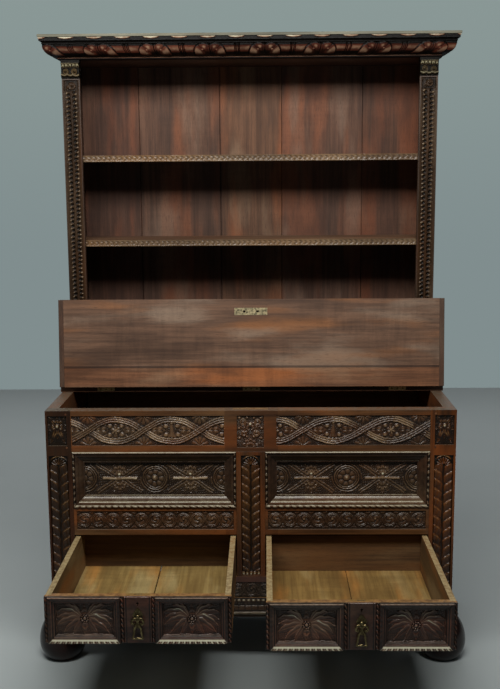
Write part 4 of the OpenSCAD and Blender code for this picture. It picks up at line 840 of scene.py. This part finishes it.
# Carved slabs in their beds
FRAME, UPRIGHT = (("carcase", wood, "frame_oak") for wood in (carved_oak, carved_stile))
STRAP_X, STRAP_Z = (89, 611), (793, 897)
MITRE_GAP = 0.15
MARKS = {"left": [-748, -555, -365, -172, 20], "right": [-15, 180, 384, 574, 765]}
LEAF_Z, MUNTIN_LEAF_Z = (246, FIELD_TOP), (326, FIELD_TOP)
ROUNDEL_PITCH, ROUNDEL_CZ, BASE_PITCH, BASE_CZ = 49.2, 526, 49.0, 271
PANEL_HALF, PANEL_CZ, PANEL_FLOOR = (240.75, 58.5), 671.5, 23
PILASTER_Z, CAPITAL_Z = (990, 2040), (2046, 2098)
for side, s in SIDES.items():
    stile, panel = s * STILE_X, s * PANEL_CX
    slab(f"strapwork_{side}", sorted(s * x for x in STRAP_X), STRAP_Z, CARVE, strapwork,
         (MARKS[side], *STRAP_Z), FRAME, 1.6)
    slab(f"stile_flower_{side}", around(stile, STILE_HALF), STRAP_Z, CARVE, corner_flower,
         (stile, 860), UPRIGHT, 1.5)
    slab(f"stile_leaves_{side}", around(stile, STILE_HALF), LEAF_Z, CARVE, leaf_band,
         (stile, STILE_HALF, *LEAF_Z, 33), UPRIGHT, 1.6)
    slab(f"roundels_{side}", around(panel, 271.75), around(ROUNDEL_CZ, 33), CARVE, roundel_row,
         (panel - 5 * ROUNDEL_PITCH, ROUNDEL_PITCH, 11, ROUNDEL_CZ, 33), FRAME, 1.6)
    slab(f"panel_carving_{side}", around(panel, PANEL_HALF[0]), around(PANEL_CZ, PANEL_HALF[1]),
         PANEL_FLOOR, panel_scene, (panel, PANEL_HALF[0], PANEL_CZ),
         ("carcase", carved_panel, "panel_oak"), 1.6)
slab("centre_foliage", (-46, 46), (785, 897), CARVE, centre_block, (), FRAME, 1.2, steady=True)
slab("muntin_leaves", around(0, STILE_HALF), MUNTIN_LEAF_Z, CARVE, leaf_band,
     (0, STILE_HALF, *MUNTIN_LEAF_Z, 30, True), UPRIGHT, 1.6)
slab("base_roundels", (-603, 603), around(BASE_CZ, 28), CARVE, roundel_row,
     (-588, BASE_PITCH, 25, BASE_CZ, 28), ("carcase", carved_dark, "frame_oak"), 1.8)
for side, s in SIDES.items():
    cx = s * PILASTER_X
    slab(f"pilaster_beads_{side}", around(cx, 28), PILASTER_Z, CASE_Y + CARVE, pilaster_rows,
         (cx, 28, *PILASTER_Z, 15.5), ("carcase", carved_pilaster, "moulding_oak"))
    slab(f"capital_face_{side}", around(cx, 32), CAPITAL_Z, CASE_Y - 4, capital_face,
         (cx, *CAPITAL_Z), ("carcase", carved_capital, "moulding_oak"), 1.2)
for i, top_z in enumerate(SHELF_TOPS):
    slab(f"shelf_edge_{i + 1}", (-645, 645), (top_z - 22, top_z), CASE_Y + 24, running_leaf,
         (top_z - 11, 11, 18.6), ("carcase", carved_shelf, "case_oak"), 1.8)


def board(name, x, y, z, along, look, stands_for, lap=0.0):
    """A board with eased front corners along z, or eased top corners along y, given as ranges.
    Its section is carried through stations whose edges wander by half a millimetre. lap is how
    far its back half reaches behind the next board, and is cut away at its other edge."""
    (a, b), (near, far) = x, y if along == "z" else z[::-1]
    half, ease = (near + far) / 2, math.copysign(1.1, far - near)
    cut_back = a + lap + 1.5 * (lap > 0)
    section = np.array([
        (a + 0.3, near + ease), (a + 1.2, near), *((v, near) for v in np.linspace(a, b, 9)[1:-1]),
        (b - 1.2, near), (b - 0.3, near + ease), (b, half), (b + lap, half), (b + lap, far),
        (cut_back, far), (cut_back, half), (a, half)])
    run = np.linspace(*(z if along == "z" else y), 40)[:, None]
    wander = 0.35 * np.sin(run * 0.021 + a) + 0.2 * np.sin(run * 0.067 + 2 * a)
    across = section[:, 0] + wander * (np.abs(section[:, 0] - a) < 2)
    deep = section[:, 1]
    loft(name, at(across, deep, run) if along == "z" else at(across, run, deep), look,
         stands_for=stands_for)


def box_mm(node):
    """A node's ranges in chest millimetres: x, y and z."""
    low, high = (np.array(corner) * 1000 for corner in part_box(node))
    return [(a, b) for a, b in zip(low - (0, FACE_Y, 0), high - (0, FACE_Y, 0))]


x, y, z = box_mm("case_back_boards")
edges = [x[0], *BACK_JOINTS, x[1]]
for i, (a, b) in enumerate(zip(edges[:-1], edges[1:])):
    board(f"back_board_{i + 1}", (a + 1.0 * (i > 0), b - 1.0 * (i < 4)), y, z, "z",
          ("carcase", oak_back, "back_oak"), ("case_back_boards",), lap=7.0 if i < 4 else 0.0)
for side, s in SIDES.items():
    node = f"drawer_{side}_bottom"
    x, y, z = box_mm(node)
    split, gap = (PANEL_CX, 0.7) if s > 0 else (10 - PANEL_CX, 1.6)
    for label, x in (("inner", (x[0], split - gap)), ("outer", (split + gap, x[1]))):
        board(f"{node}_{label}", x, y, z, "y",
              (f"drawer_{side}", oak_drawer, "drawer_oak"), (node,))


def arc(cx, cy, rx, ry, start, stop, n):
    """Points of an ellipse's arc, between two angles in degrees."""
    a = np.radians(np.linspace(start, stop, n))
    return np.stack([cx + rx * np.cos(a), cy + ry * np.sin(a)], -1)


def swell(a, b, y0, y1, n=9):
    """A quarter-round line from (a, y0) to (b, y1), swelling forwards."""
    return arc(a, y1, b - a, y1 - y0, -90, 0, n)


def resample(points, step):
    """The same line with its points at even distances of about step, its corners kept."""
    length = np.concatenate([[0], np.cumsum(np.hypot(*np.diff(points, axis=0).T))])
    marks = np.unique(np.append(np.linspace(0, length[-1], int(length[-1] / step) + 1), length))
    marks = marks[np.append(True, np.diff(marks) > step * 0.2)]
    return np.stack([np.interp(marks, length, points[:, i]) for i in (0, 1)], -1)


def surround(name, half, front, z, outer, inner_front, cut, look, stands_for, step=2.0):
    """Three sticks of a moulding round the front and sides, mitred at the corners. outer is the
    face's line as (out, up) from the foot. cut(path, up) gives how far each point moves out
    along the line's normal, and its tone; path runs along the stick. inner_front is how far the
    front stick reaches behind its line."""
    face = resample(outer, step)
    t = np.gradient(face, axis=0)
    t /= np.maximum(np.hypot(*t.T), 1e-9)[:, None]

    def section(path, inner):
        h, tone = cut(path, face[:, 1])
        pair = (len(path), 2)
        return (np.hstack([face[:, 0] + h * t[:, 1], np.full(pair, inner)]),
                np.hstack([face[:, 1] - h * t[:, 0], np.broadcast_to(face[[-1, 0], 1], pair)]),
                np.hstack([tone + 0 * h, np.zeros(pair)]))

    out = face[:, 0].max()
    along = np.linspace(-1, 1, int(2 * (half + out) / step))[:, None]
    o, u, tone = section(along * (half + out), inner_front)
    loft(f"{name}_front", at(along * (half + o - MITRE_GAP), front - o, z + u), look, tone,
         stands_for=stands_for)
    along = np.linspace(0, 1, int((DEPTH - front + out) / step))[:, None]
    o, u, tone = section(along * (DEPTH - front), 0.0)
    for label, s in SIDES.items():
        loft(f"{name}_{label}",
             at(s * (half + o), (front - o + MITRE_GAP) * (1 - along) + DEPTH * along, z + u),
             look, tone, stands_for=stands_for)


def cornice_cut(path, up):
    """Cornice carving. The big swelling is mostly plain, with pairs of curled leaves every 198 mm
    parted by grooves, under a hollow. Raised crescents hang from the top every 99 mm. Light is
    painted in the tone: a pale band along the swelling's middle, shade at its top and foot, in the
    hollow and on the face above, and highlights on the crescents, on the eyes' upper halves and on
    the bead's upper half below."""
    along = ((path + 42) / 198.0 % 1.0 - 0.5) * 198.0
    side = np.abs(along)
    level = (up - 10) / 38.0
    lift = (level - 0.52) * 38
    on = rise(-0.02, 0.06, level) * rise(1.04, 0.97, level)
    groove = dome(side, 2.2) + dome(99 - side - 3.5, 2.0) + dome(99 - side - 9.0, 1.8)
    r = np.hypot(side - 8, lift + 17)
    turn = np.arctan2(lift + 17, side - 8)
    ribs = np.abs(np.sin(3.6 * turn + 0.5)) ** 0.7
    reach = 33 + 14 * np.cos(turn) + 3 * ribs
    leafy = (turn > -0.15) & (r < reach)
    edge = dome(r - reach, 2.4) * (turn > -0.15)
    eye = dome(np.hypot(side - 25, lift + 4), 5.5)
    h = on * (-2.6 * groove - 2.2 * edge + 1.8 * leafy * ribs * rise(6, 22, r) + 2.2 * eye)
    # Painted sheen: a pale band along the middle of the swelling.
    sheen = 0.1 + 0.74 * dome(level - 0.54, 0.3)
    tone = np.where(leafy, 0.12 + 0.8 * ribs * rise(4, 26, r) * rise(reach, reach - 4, r), sheen)
    # The grooves and the leaves' edges are painted darker.
    tone = tone - 0.8 * np.clip(groove + edge, 0, 1)
    # Painted shade at the swelling's top and foot; the eyes painted pale on their upper half, a
    # painted highlight.
    shade = rise(1.02, 0.72, level) * rise(-0.02, 0.16, level)
    tone = most(tone * shade, 1.2 * eye * rise(-1, 3, lift + 4))
    g = np.abs(((path - 6) / 99.0) % 1.0 - 0.5) * 99
    depth = 6.5 * dome(g, 28)
    crescent = rise(71.9 - depth - 0.8, 71.9 - depth + 0.8, up) * (g < 28)
    # Above 52 mm the hollow and the face are painted dark, as shade under the top board, and the
    # crescents pale, as painted highlights.
    top = up > 52
    h = np.where(top, -1.6 + 2.0 * crescent * rise(72.4, 71.0, up) * (up > 56), h)
    tone = np.where(top, 1.26 * crescent, tone)
    # The bead at the foot is painted pale on its upper half, a painted highlight.
    return h, np.where(up < 9, 1.1 * rise(4.5, 6, up), tone)


CORNICE_OUT, CORNICE_Z = 68, 2108
cornice_line = np.concatenate([
    [[0, 0], [7, 0]], arc(7, 4, 4, 4, -80, 90, 8), [[9, 8.4], [10, 10]],
    arc(12, 48, CORNICE_OUT - 26, 38, -90, 0, 40), [[CORNICE_OUT - 12, 50]],
    arc(CORNICE_OUT - 4, 50, 8, 8, 180, 90, 10), [[CORNICE_OUT - 3, 59], [CORNICE_OUT - 3, 72]]])
surround("cornice", CASE_HALF, CASE_Y, CORNICE_Z, cornice_line, -22, cornice_cut,
         ("carcase", carved_red, "moulding_oak"), ("cornice_moulding",))


def base_cut(path, up):
    """Base carving: small upright leaf strokes on the slope, over a plain bright roll."""
    t = (path / 17.5) % 1.0 - 0.5
    lean = t + 0.25 * (up - 50) / 30
    stroke = dome(lean, 0.42) * rise(42, 45, up) * rise(63, 60, up)
    low = dome((path / 23.0) % 1.0 - 0.5, 0.46) * rise(25, 28, up) * rise(42, 39, up)
    roll = rise(9.5, 12, up) * rise(22.5, 20.5, up)
    uneven = 0.12 * np.sin(path * 0.07) + 0.1 * np.sin(path * 0.19)
    h = 1.9 * stroke + 1.5 * low + 0.3 * uneven * roll
    # The strokes are painted pale only at their upper ends, a painted highlight.
    tone = most(0.2 + 1.15 * stroke * rise(52, 58, up), 0.2 + 0.5 * low, (1.0 + uneven) * roll,
                0.55 * (up < 9) + 0 * h)
    return h, tone


t = np.linspace(0, 1, 24)
base_line = np.concatenate([
    [[0, 0], [12, 0]], arc(12, 4.5, 4, 4, -75, 80, 8), [[12, 9.2]],
    arc(14, 16, 6, 6, -88, 88, 12), [[13, 22.6]],
    np.stack([13 - 12 * (3 * t ** 2 - 2 * t ** 3), 24 + 41 * t], -1), [[0, 65.2]]])
surround("base_moulding", HALF_W, 0, BASE_Z, base_line, 0.0, base_cut,
         ("carcase", carved_dark, "frame_oak"), ("base_moulding",))


def stick_frame(name, x, z, line, cut, step, look, stands_for, back, shift=(0, 0)):
    """Four mitred sticks round an opening. line is the face as (inward, y). cut(path, inward,
    member) gives how far each point moves towards the front, and its tone; back is the y of the
    flat back."""
    inward, y = resample(line, step).T
    w, h = x[1] - x[0], z[1] - z[0]
    for member, length in (("foot", w), ("right", h), ("head", w), ("left", h)):
        t = np.linspace(0, 1, max(3, int(length / step)))[:, None]
        out, tone = cut(t * length, inward, member)
        pair = (len(t), 2)
        ins = np.hstack([np.broadcast_to(inward, out.shape),
                         np.broadcast_to(inward[[-1, 0]], pair)])
        ys = np.hstack([y - out, np.full(pair, back)])
        along = (ins + MITRE_GAP) * (1 - t) + (length - ins - MITRE_GAP) * t
        px, pz = {"foot": (x[0] + along, z[0] + ins), "right": (x[1] - ins, z[0] + along),
                  "head": (x[1] - along, z[1] - ins), "left": (x[0] + ins, z[1] - along)}[member]
        loft(f"{name}_{member}", at(px + shift[0], ys + shift[1], pz), look,
             np.hstack([tone + 0 * out, np.zeros(pair)]), stands_for=stands_for)


def panel_cut(path, inward, member):
    """Panel mouldings: rope nicks on the foot's rim, beads on the sides, a painted highlight along
    the head's edge and a thin one along the foot's face.
    """
    rim = rise(0.4, 1.4, inward) * rise(9.6, 8.6, inward)
    if member == "head":
        return 0 * path * inward, 0.25 + 0.8 * rise(0, 1.5, inward) * rise(4.8, 3.2, inward)
    if member == "foot":
        nick = np.abs(np.sin(np.pi * ((path + 1.1 * inward) / 22.8))) ** 0.55
        face = 0.7 + 0.5 * dome(inward - 20, 2.0)
        return (nick - 0.3) * 3.2 * rim, np.where(inward < 9.0, 0.25 + 0.8 * nick * rim, face)
    bead = dome(np.hypot((inward - 5) / 4.4, ((path / 23.0) % 1.0 - 0.5) / 0.3), 1.0)
    return (3.0 * bead - 1.5) * rim, np.where(inward < 9.6, 0.1 + 0.8 * bead, 0.3)


t = np.linspace(0, 1, 14)
panel_line = np.concatenate([
    [[0.3, 17.9], [0.3, 0.5]], arc(4.8, -0.6, 4.2, 4.0, 180, 360, 10), [[9.6, 1.2], [10.4, 1.2]],
    swell(10.6, 21.0, -1.4, 4.2), [[21.2, 3.2], [23.2, 3.6], [23.4, 5.2]],
    np.stack([23.6 + 12.6 * t, 5.2 + 7.0 * t ** 1.6], -1),
    [[36.5, 11.5], [40.5, 11.5], [40.9, 12.5], [40.9, 17.9]]])
for side, s in SIDES.items():
    stick_frame(f"panel_moulding_{side}", sorted((s * MUNTIN_X, s * RAIL_X)), PANEL_Z, panel_line,
                panel_cut, 1.9, ("carcase", carved_moulding, "moulding_oak"),
                ("panel_mouldings",), 17.95)


def drawer_cut(path, inward, member):
    """Drawer mouldings: pairs of nicks along the foot's rim, painted pale for rubbing and as a
    painted highlight, faint waves on the others, and a painted highlight on the head's outer edge.
    """
    rim = rise(0.2, 0.9, inward) * rise(12.6, 11.6, inward)
    place = path / 17.2
    if member == "foot":
        nick = most(dome(place % 1.0 - 0.34, 0.17), dome(place % 1.0 - 0.74, 0.13))
        nick = nick * rise(7.6, 6.2, inward)
        face = 0.2 + 0.4 * dome(inward - 17, 1.4)
        return -2.6 * nick * rim, np.where(inward < 12.6, 1.4 * (1 - 0.8 * nick), face)
    head = member == "head"
    wave = np.abs(np.sin(np.pi * place)) ** 0.7
    lines = (0.42 * dome(inward - 10.8, 1.5) + 0.5 * dome(inward - 17.4, 1.3)
             + 0.8 * dome(inward - 1.6, 1.6) * head)
    return 0.7 * wave * rim, np.where(inward < 0.6, 0.0 if head else 0.2,
                                      0.12 + 0.1 * wave * rim + lines)


drawer_line = np.concatenate([
    [[0.3, 0.0], [0.3, -11.6]], arc(2.3, -11.6, 2, 2, 180, 270, 6),
    [[4.5, -13.4], [12.4, -9.6], [12.6, -8.2]], swell(12.8, 17.0, -8.0, -5.2, 6),
    [[17.2, -6.0], [18.4, -5.8]], swell(18.6, 21.4, -4.8, -2.4, 5), [[21.8, -1.6], [22.1, 0.0]]])


def block_face(x, z):
    """The drawer's middle block: flat, with a sunk line inside its edge and the keyhole."""
    hole_z = 447
    border = np.minimum(BLOCK_W / 2 - np.abs(x), np.minimum(z - DRAWER_Z[0], DRAWER_Z[1] - z))
    h = BLOCK_OUT - 1.2 * dome(np.abs(x) - BLOCK_W / 2 + 7, 1.6) - 1.5 * rise(1.2, 0.0, border)
    hole = (np.hypot(x, z - hole_z) < 3.2) | ((np.abs(x) < 1.5) & (z < hole_z) & (z > hole_z - 8))
    # The top edge is painted paler, part rubbing and part a painted highlight; the sunk line and
    # border are painted darker, and the keyhole darkest, as shade in the hole.
    worn = rise(DRAWER_Z[1] - 3, DRAWER_Z[1] - 1, z) * 0.4
    return np.where(hole, 0.5, h), np.where(hole, 0.0, 0.3 + worn - 0.3 * rise(5.8, 4.9, h))


def bead_strip(x, z, cx, pitch):
    """A narrow strip of leaning beads between two fillets."""
    t = ((z + 1.2 * (x - cx)) / pitch) % 1.0
    bead = dome(np.hypot((x - cx) / 3.8, (t - 0.5) * pitch / 6.2), 1.0)
    fillet = rise(3.4, 4.0, np.abs(x - cx))
    return 4.2 + most(4.2 * bead, 1.6 * fillet), 0.12 + most(0.36 * bead, 0.16 * fillet)


FIELD_INSET = 22
FIELD_HALF = [(b - a) / 2 - FIELD_INSET for a, b in ((0, DRAWER_PANEL_W), DRAWER_Z)]
for side, s in SIDES.items():
    body, shift = f"drawer_{side}", (s * PANEL_CX, -DRAWER_OUT[side])
    look, covers = (body, carved_drawer, "drawer_front_oak"), (f"{body}_mouldings",)
    strip_x = BLOCK_W / 2 + STRIP_W
    for label, x0 in (("inner", strip_x), ("outer", -strip_x - DRAWER_PANEL_W)):
        x = (x0, x0 + DRAWER_PANEL_W)
        stick_frame(f"{body}_frame_{label}", x, DRAWER_Z, drawer_line, drawer_cut, 1.7, look,
                    covers, -0.02, shift)
        slab(f"{body}_flower_{label}", (x[0] + FIELD_INSET, x[1] - FIELD_INSET),
             (DRAWER_Z[0] + FIELD_INSET, DRAWER_Z[1] - FIELD_INSET), 4, drawer_flower,
             (sum(x) / 2, FIELD_HALF[0], DRAWER_CZ, FIELD_HALF[1]), look, 1.4, shift)
    for i, x0 in enumerate((-DRAWER_W / 2, -strip_x, BLOCK_W / 2, DRAWER_W / 2 - STRIP_W)):
        x0 += 0.3
        slab(f"{body}_strip_{i}", (x0, x0 + STRIP_W - 0.6), DRAWER_Z, 0, bead_strip,
             (x0 + 4.7, 16.0), look, 1.2, shift, steady=True, stands_for=covers)
    slab(f"{body}_block", around(0, BLOCK_W / 2), DRAWER_Z, 0, block_face, (), look, 1.5, shift,
         steady=True, stands_for=covers)

# Ball feet: an ellipse's quarters below and above the widest place, cut flat at both ends
FOOT_R, FOOT_H, FLAT_R, FOOT_X = 82.9, 150.0, 56.0, 680
wide_z = FOOT_H * 0.42
foot_z = np.concatenate([
    wide_z * (1 - np.cos(np.linspace(0, np.pi / 2, 16))),
    wide_z + (FOOT_H - wide_z) * np.sin(np.linspace(0, np.pi / 2, 22))[1:]])
below = foot_z < wide_z
end_share = np.where(below, FLAT_R / FOOT_R, 0.62)
foot_r = FOOT_R * np.sqrt(1 - (1 - end_share ** 2)
                          * ((foot_z - wide_z) / np.where(below, wide_z, FOOT_H - wide_z)) ** 2)
a = np.linspace(0, 2 * np.pi, 72, endpoint=False)
for row, y in (("front", 62), ("rear", 530)):
    for side, s in SIDES.items():
        loft(f"ball_foot_{row}_{side}",
             at(foot_r[:, None] * np.cos(a) + s * FOOT_X, foot_r[:, None] * np.sin(a) + y,
                foot_z[:, None]), ("carcase", foot_polish, "foot_wood"), stands_for=("bun_feet",),
             angle=50)


def rod(path, radius, flat):
    """Rings of a round bar along path, points of (x, z) in mm in one plane. radius changes
    along it, and flat is its thickness from front to back against its width."""
    t = np.gradient(path, axis=0)
    t /= np.hypot(*t.T)[:, None]
    a = np.linspace(0, 2 * np.pi, 14, endpoint=False)
    r = radius[:, None]
    return (path[:, :1] - r * np.cos(a) * t[:, 1:], r * flat * np.sin(a),
            path[:, 1:] + r * np.cos(a) * t[:, :1])


def bent(points, n):
    """A smooth line through a few points, by cubic pieces with the slope of their neighbours."""
    p = np.asarray(points, float)
    p = np.concatenate([2 * p[:1] - p[1:2], p, 2 * p[-1:] - p[-2:-1]])
    s = np.linspace(0, len(points) - 1 - 1e-6, n)
    i, t = np.floor(s).astype(int), (s % 1.0)[:, None]
    a, b, c, d = p[i], p[i + 1], p[i + 2], p[i + 3]
    return 0.5 * (2 * b + (c - a) * t + (2 * a - 5 * b + 4 * c - d) * t ** 2
                  + (3 * b - a - 3 * c + d) * t ** 3)


# Bars of a drop pull: their line through (x, z), stations, the radius at shares of the length,
# and how flat they are
BARS = {"stem": ([(0, z) for z in (PIVOT_Z + 4.5, PIVOT_Z, 404, 398, 391, 384, 376)], 24,
                 [0, .08, .2, .3, .45, .6, .8, 1], [1.6, 5.6, 4.4, 3.8, 6.8, 4.8, 6.2, 8.6], 0.58)}
for side, s in SIDES.items():
    BARS[f"leg_{side}"] = ([(s * x, z) for x, z in (
        (3.0, 386), (9.0, 374), (10.6, 360), (13.4, 347), (15.4, PULL_FOOT + 2.6))], 28,
        [0, 0.3, 0.7, 1], [4.4, 3.7, 3.1, 3.2], 0.9)
    BARS[f"scroll_{side}"] = ([(s * x, z) for x, z in (
        (1.5, 398), (9, 403), (16, 398), (17, 389), (11.4, 386), (9.4, 391.5))], 34,
        [0, 0.5, 1], [4.2, 3.8, 3.0], 0.75)
BARS["foot"] = ([(x, PULL_FOOT + up) for x, up in ((-17, 2.4), (-8, 2.2), (0, 4.0), (8, 2.2),
                                                   (17, 2.4))], 28,
                [0, .06, .2, .5, .8, .94, 1], [1.6, 2.9, 2.6, 3.8, 2.6, 2.9, 1.6], 0.9)
# The pull's back plate: an oval with four points and twelve small waves, thinner to its edge
a = np.linspace(0, 2 * np.pi, 144, endpoint=False)
outline = 0.10 * np.cos(4 * a) + 0.06 * np.cos(12 * a)
depth = np.array([0.02, 1.0, 1.5, 1.9, 2.3, 2.8, 3.2])[:, None]
share = np.array([1.0, 1.0, 0.93, 0.70, 0.5, 0.42, 0.16])[:, None]
plate_r = share * (1 + outline * np.clip(share * 1.6 - 0.5, 0, 1))
PLATE_HALF_W, PLATE_HALF_H = 13.5, 20.0
for side, s in SIDES.items():
    cx, out = s * PANEL_CX, DRAWER_OUT[side]
    for label, (points, n, places, radii, flat) in BARS.items():
        px, py, pz = rod(bent(points, n), np.interp(np.linspace(0, 1, n), places, radii), flat)
        loft(f"drop_pull_{side}_{label}", at(px + cx, py + PIVOT_Y - out, pz),
             (f"pull_{side}", pull_brass, "hinge_brass"), stands_for=(f"drawer_{side}_pull",),
             angle=60)
    loft(f"pull_plate_{side}",
         at(cx + PLATE_HALF_W * plate_r * np.cos(a), -BLOCK_OUT - depth - out,
            PIVOT_Z + PLATE_HALF_H * plate_r * np.sin(a)),
         (f"drawer_{side}", pull_brass, "hinge_brass"),
         stands_for=(f"drawer_{side}_pull_plate",), angle=60)

# Softened edges on the frame: bevel width in mm
SOFT = {name: width for width, names in (
    (0.8, "shelves pilaster_left pilaster_right drawer_left_front drawer_right_front"),
    (1.0, "front_stiles rear_stiles front_top_rail front_mid_rails front_base_rail front_muntin"
          " side_rails case_side_left case_side_right"),
    (1.2, "lid_end_strips foot_pads"),
    (1.4, "rear_top_board drawer_left_sides drawer_right_sides drawer_left_back"
          " drawer_right_back"),
    (1.6, "cornice_top_board")) for name in names.split()}
for name, width in SOFT.items():
    nodes[name].modifiers.new("weld", "WELD").merge_threshold = 1e-5
    bevel = nodes[name].modifiers.new("soft_edges", "BEVEL")
    bevel.width = width / 1000
    bevel.segments = 2
    bevel.limit_method = "ANGLE"
    bevel.angle_limit = math.radians(50)
    bevel.use_clamp_overlap = True


def floor():
    """A pale floor, a little uneven in tone, ending in a straight line well behind the chest."""
    mesh = bpy.data.meshes.new("floor")
    mesh.from_pydata([(x, y, -0.0005) for x, y in ((-9, -7), (9, -7), (9, 4.6), (-9, 4.6))],
                     [], [(0, 1, 2, 3)])
    material, g, shader, where = new_material("pale_floor")
    pale = g.mix(g.noise(where, 1.2, 1.2), rgb(162, 171, 172), rgb(176, 184, 184))
    g.feed(shader, {"Base Color": pale, "Roughness": 0.6})
    mesh.materials.append(material)
    thing = bpy.data.objects.new("floor", mesh)
    bpy.context.scene.collection.objects.link(thing)


def area_light(name, place, aim, size, power, colour):
    data = bpy.data.lights.new(name, "AREA")
    data.shape = "RECTANGLE"
    data.size, data.size_y = size
    data.energy = power
    data.color = colour
    thing = bpy.data.objects.new(name, data)
    thing.location = place
    thing.rotation_euler = (Vector(aim) - Vector(place)).to_track_quat("-Z", "Y").to_euler()
    bpy.context.scene.collection.objects.link(thing)


floor()
area_light("key", (-0.15, -1.15, 2.62), (0, 0.0, 0.9), (2.2, 0.5), 74, (1.0, 0.985, 0.95))
area_light("far_floor", (0, 3.4, 2.6), (0, 3.0, 0), (9, 1.6), 66, (1.0, 1.0, 1.0))

# The room: the camera sees a pale wall, and the chest feels a dim even light
world = bpy.data.worlds.new("room")
world.use_nodes = True
g = Graph(world.node_tree)
g.tree.nodes.clear()
height = g.axis(g.add("TexCoord", output="Generated"), 2)
wall = g.mix(g.spread(height, -0.1, 0.2), rgb(128, 141, 142), rgb(138, 152, 150))
both = g.add("MixShader", {0: g.add("LightPath", output="Is Camera Ray"),
                           1: g.add("Background", {0: rgb(150, 158, 160), 1: 0.16}),
                           2: g.add("Background", {0: wall, 1: 1.0})})
g.feed(g.tree.nodes.new("ShaderNodeOutputWorld").inputs, {0: both})
bpy.context.scene.world = world
bpy.context.scene.view_settings.view_transform = "Standard"

# The camera was fitted to the edges in the photograph: place in metres, angles in radians
FOCAL, PHOTO_H, PITCH, YAW, ROLL = 1000.0, 689, 0.167, 0.016, -0.007
EYE = (0.054, -3.308 + FACE_Y / 1000, 1.700)
ahead = Vector((-math.sin(YAW) * math.cos(PITCH), math.cos(YAW) * math.cos(PITCH),
                -math.sin(PITCH)))
right = ahead.cross(Vector((0, 0, 1))).normalized()
up = right.cross(ahead)
right, up = (right * math.cos(ROLL) + up * math.sin(ROLL),
             up * math.cos(ROLL) - right * math.sin(ROLL))
lens = bpy.data.cameras.new("camera")
lens.sensor_width = 36
lens.lens = FOCAL * lens.sensor_width / PHOTO_H
camera = bpy.data.objects.new("camera", lens)
camera.matrix_world = Matrix.Translation(EYE) @ Matrix((right, up, -ahead)).transposed().to_4x4()
bpy.context.scene.collection.objects.link(camera)
bpy.context.scene.camera = camera

bpy.context.view_layer.update()
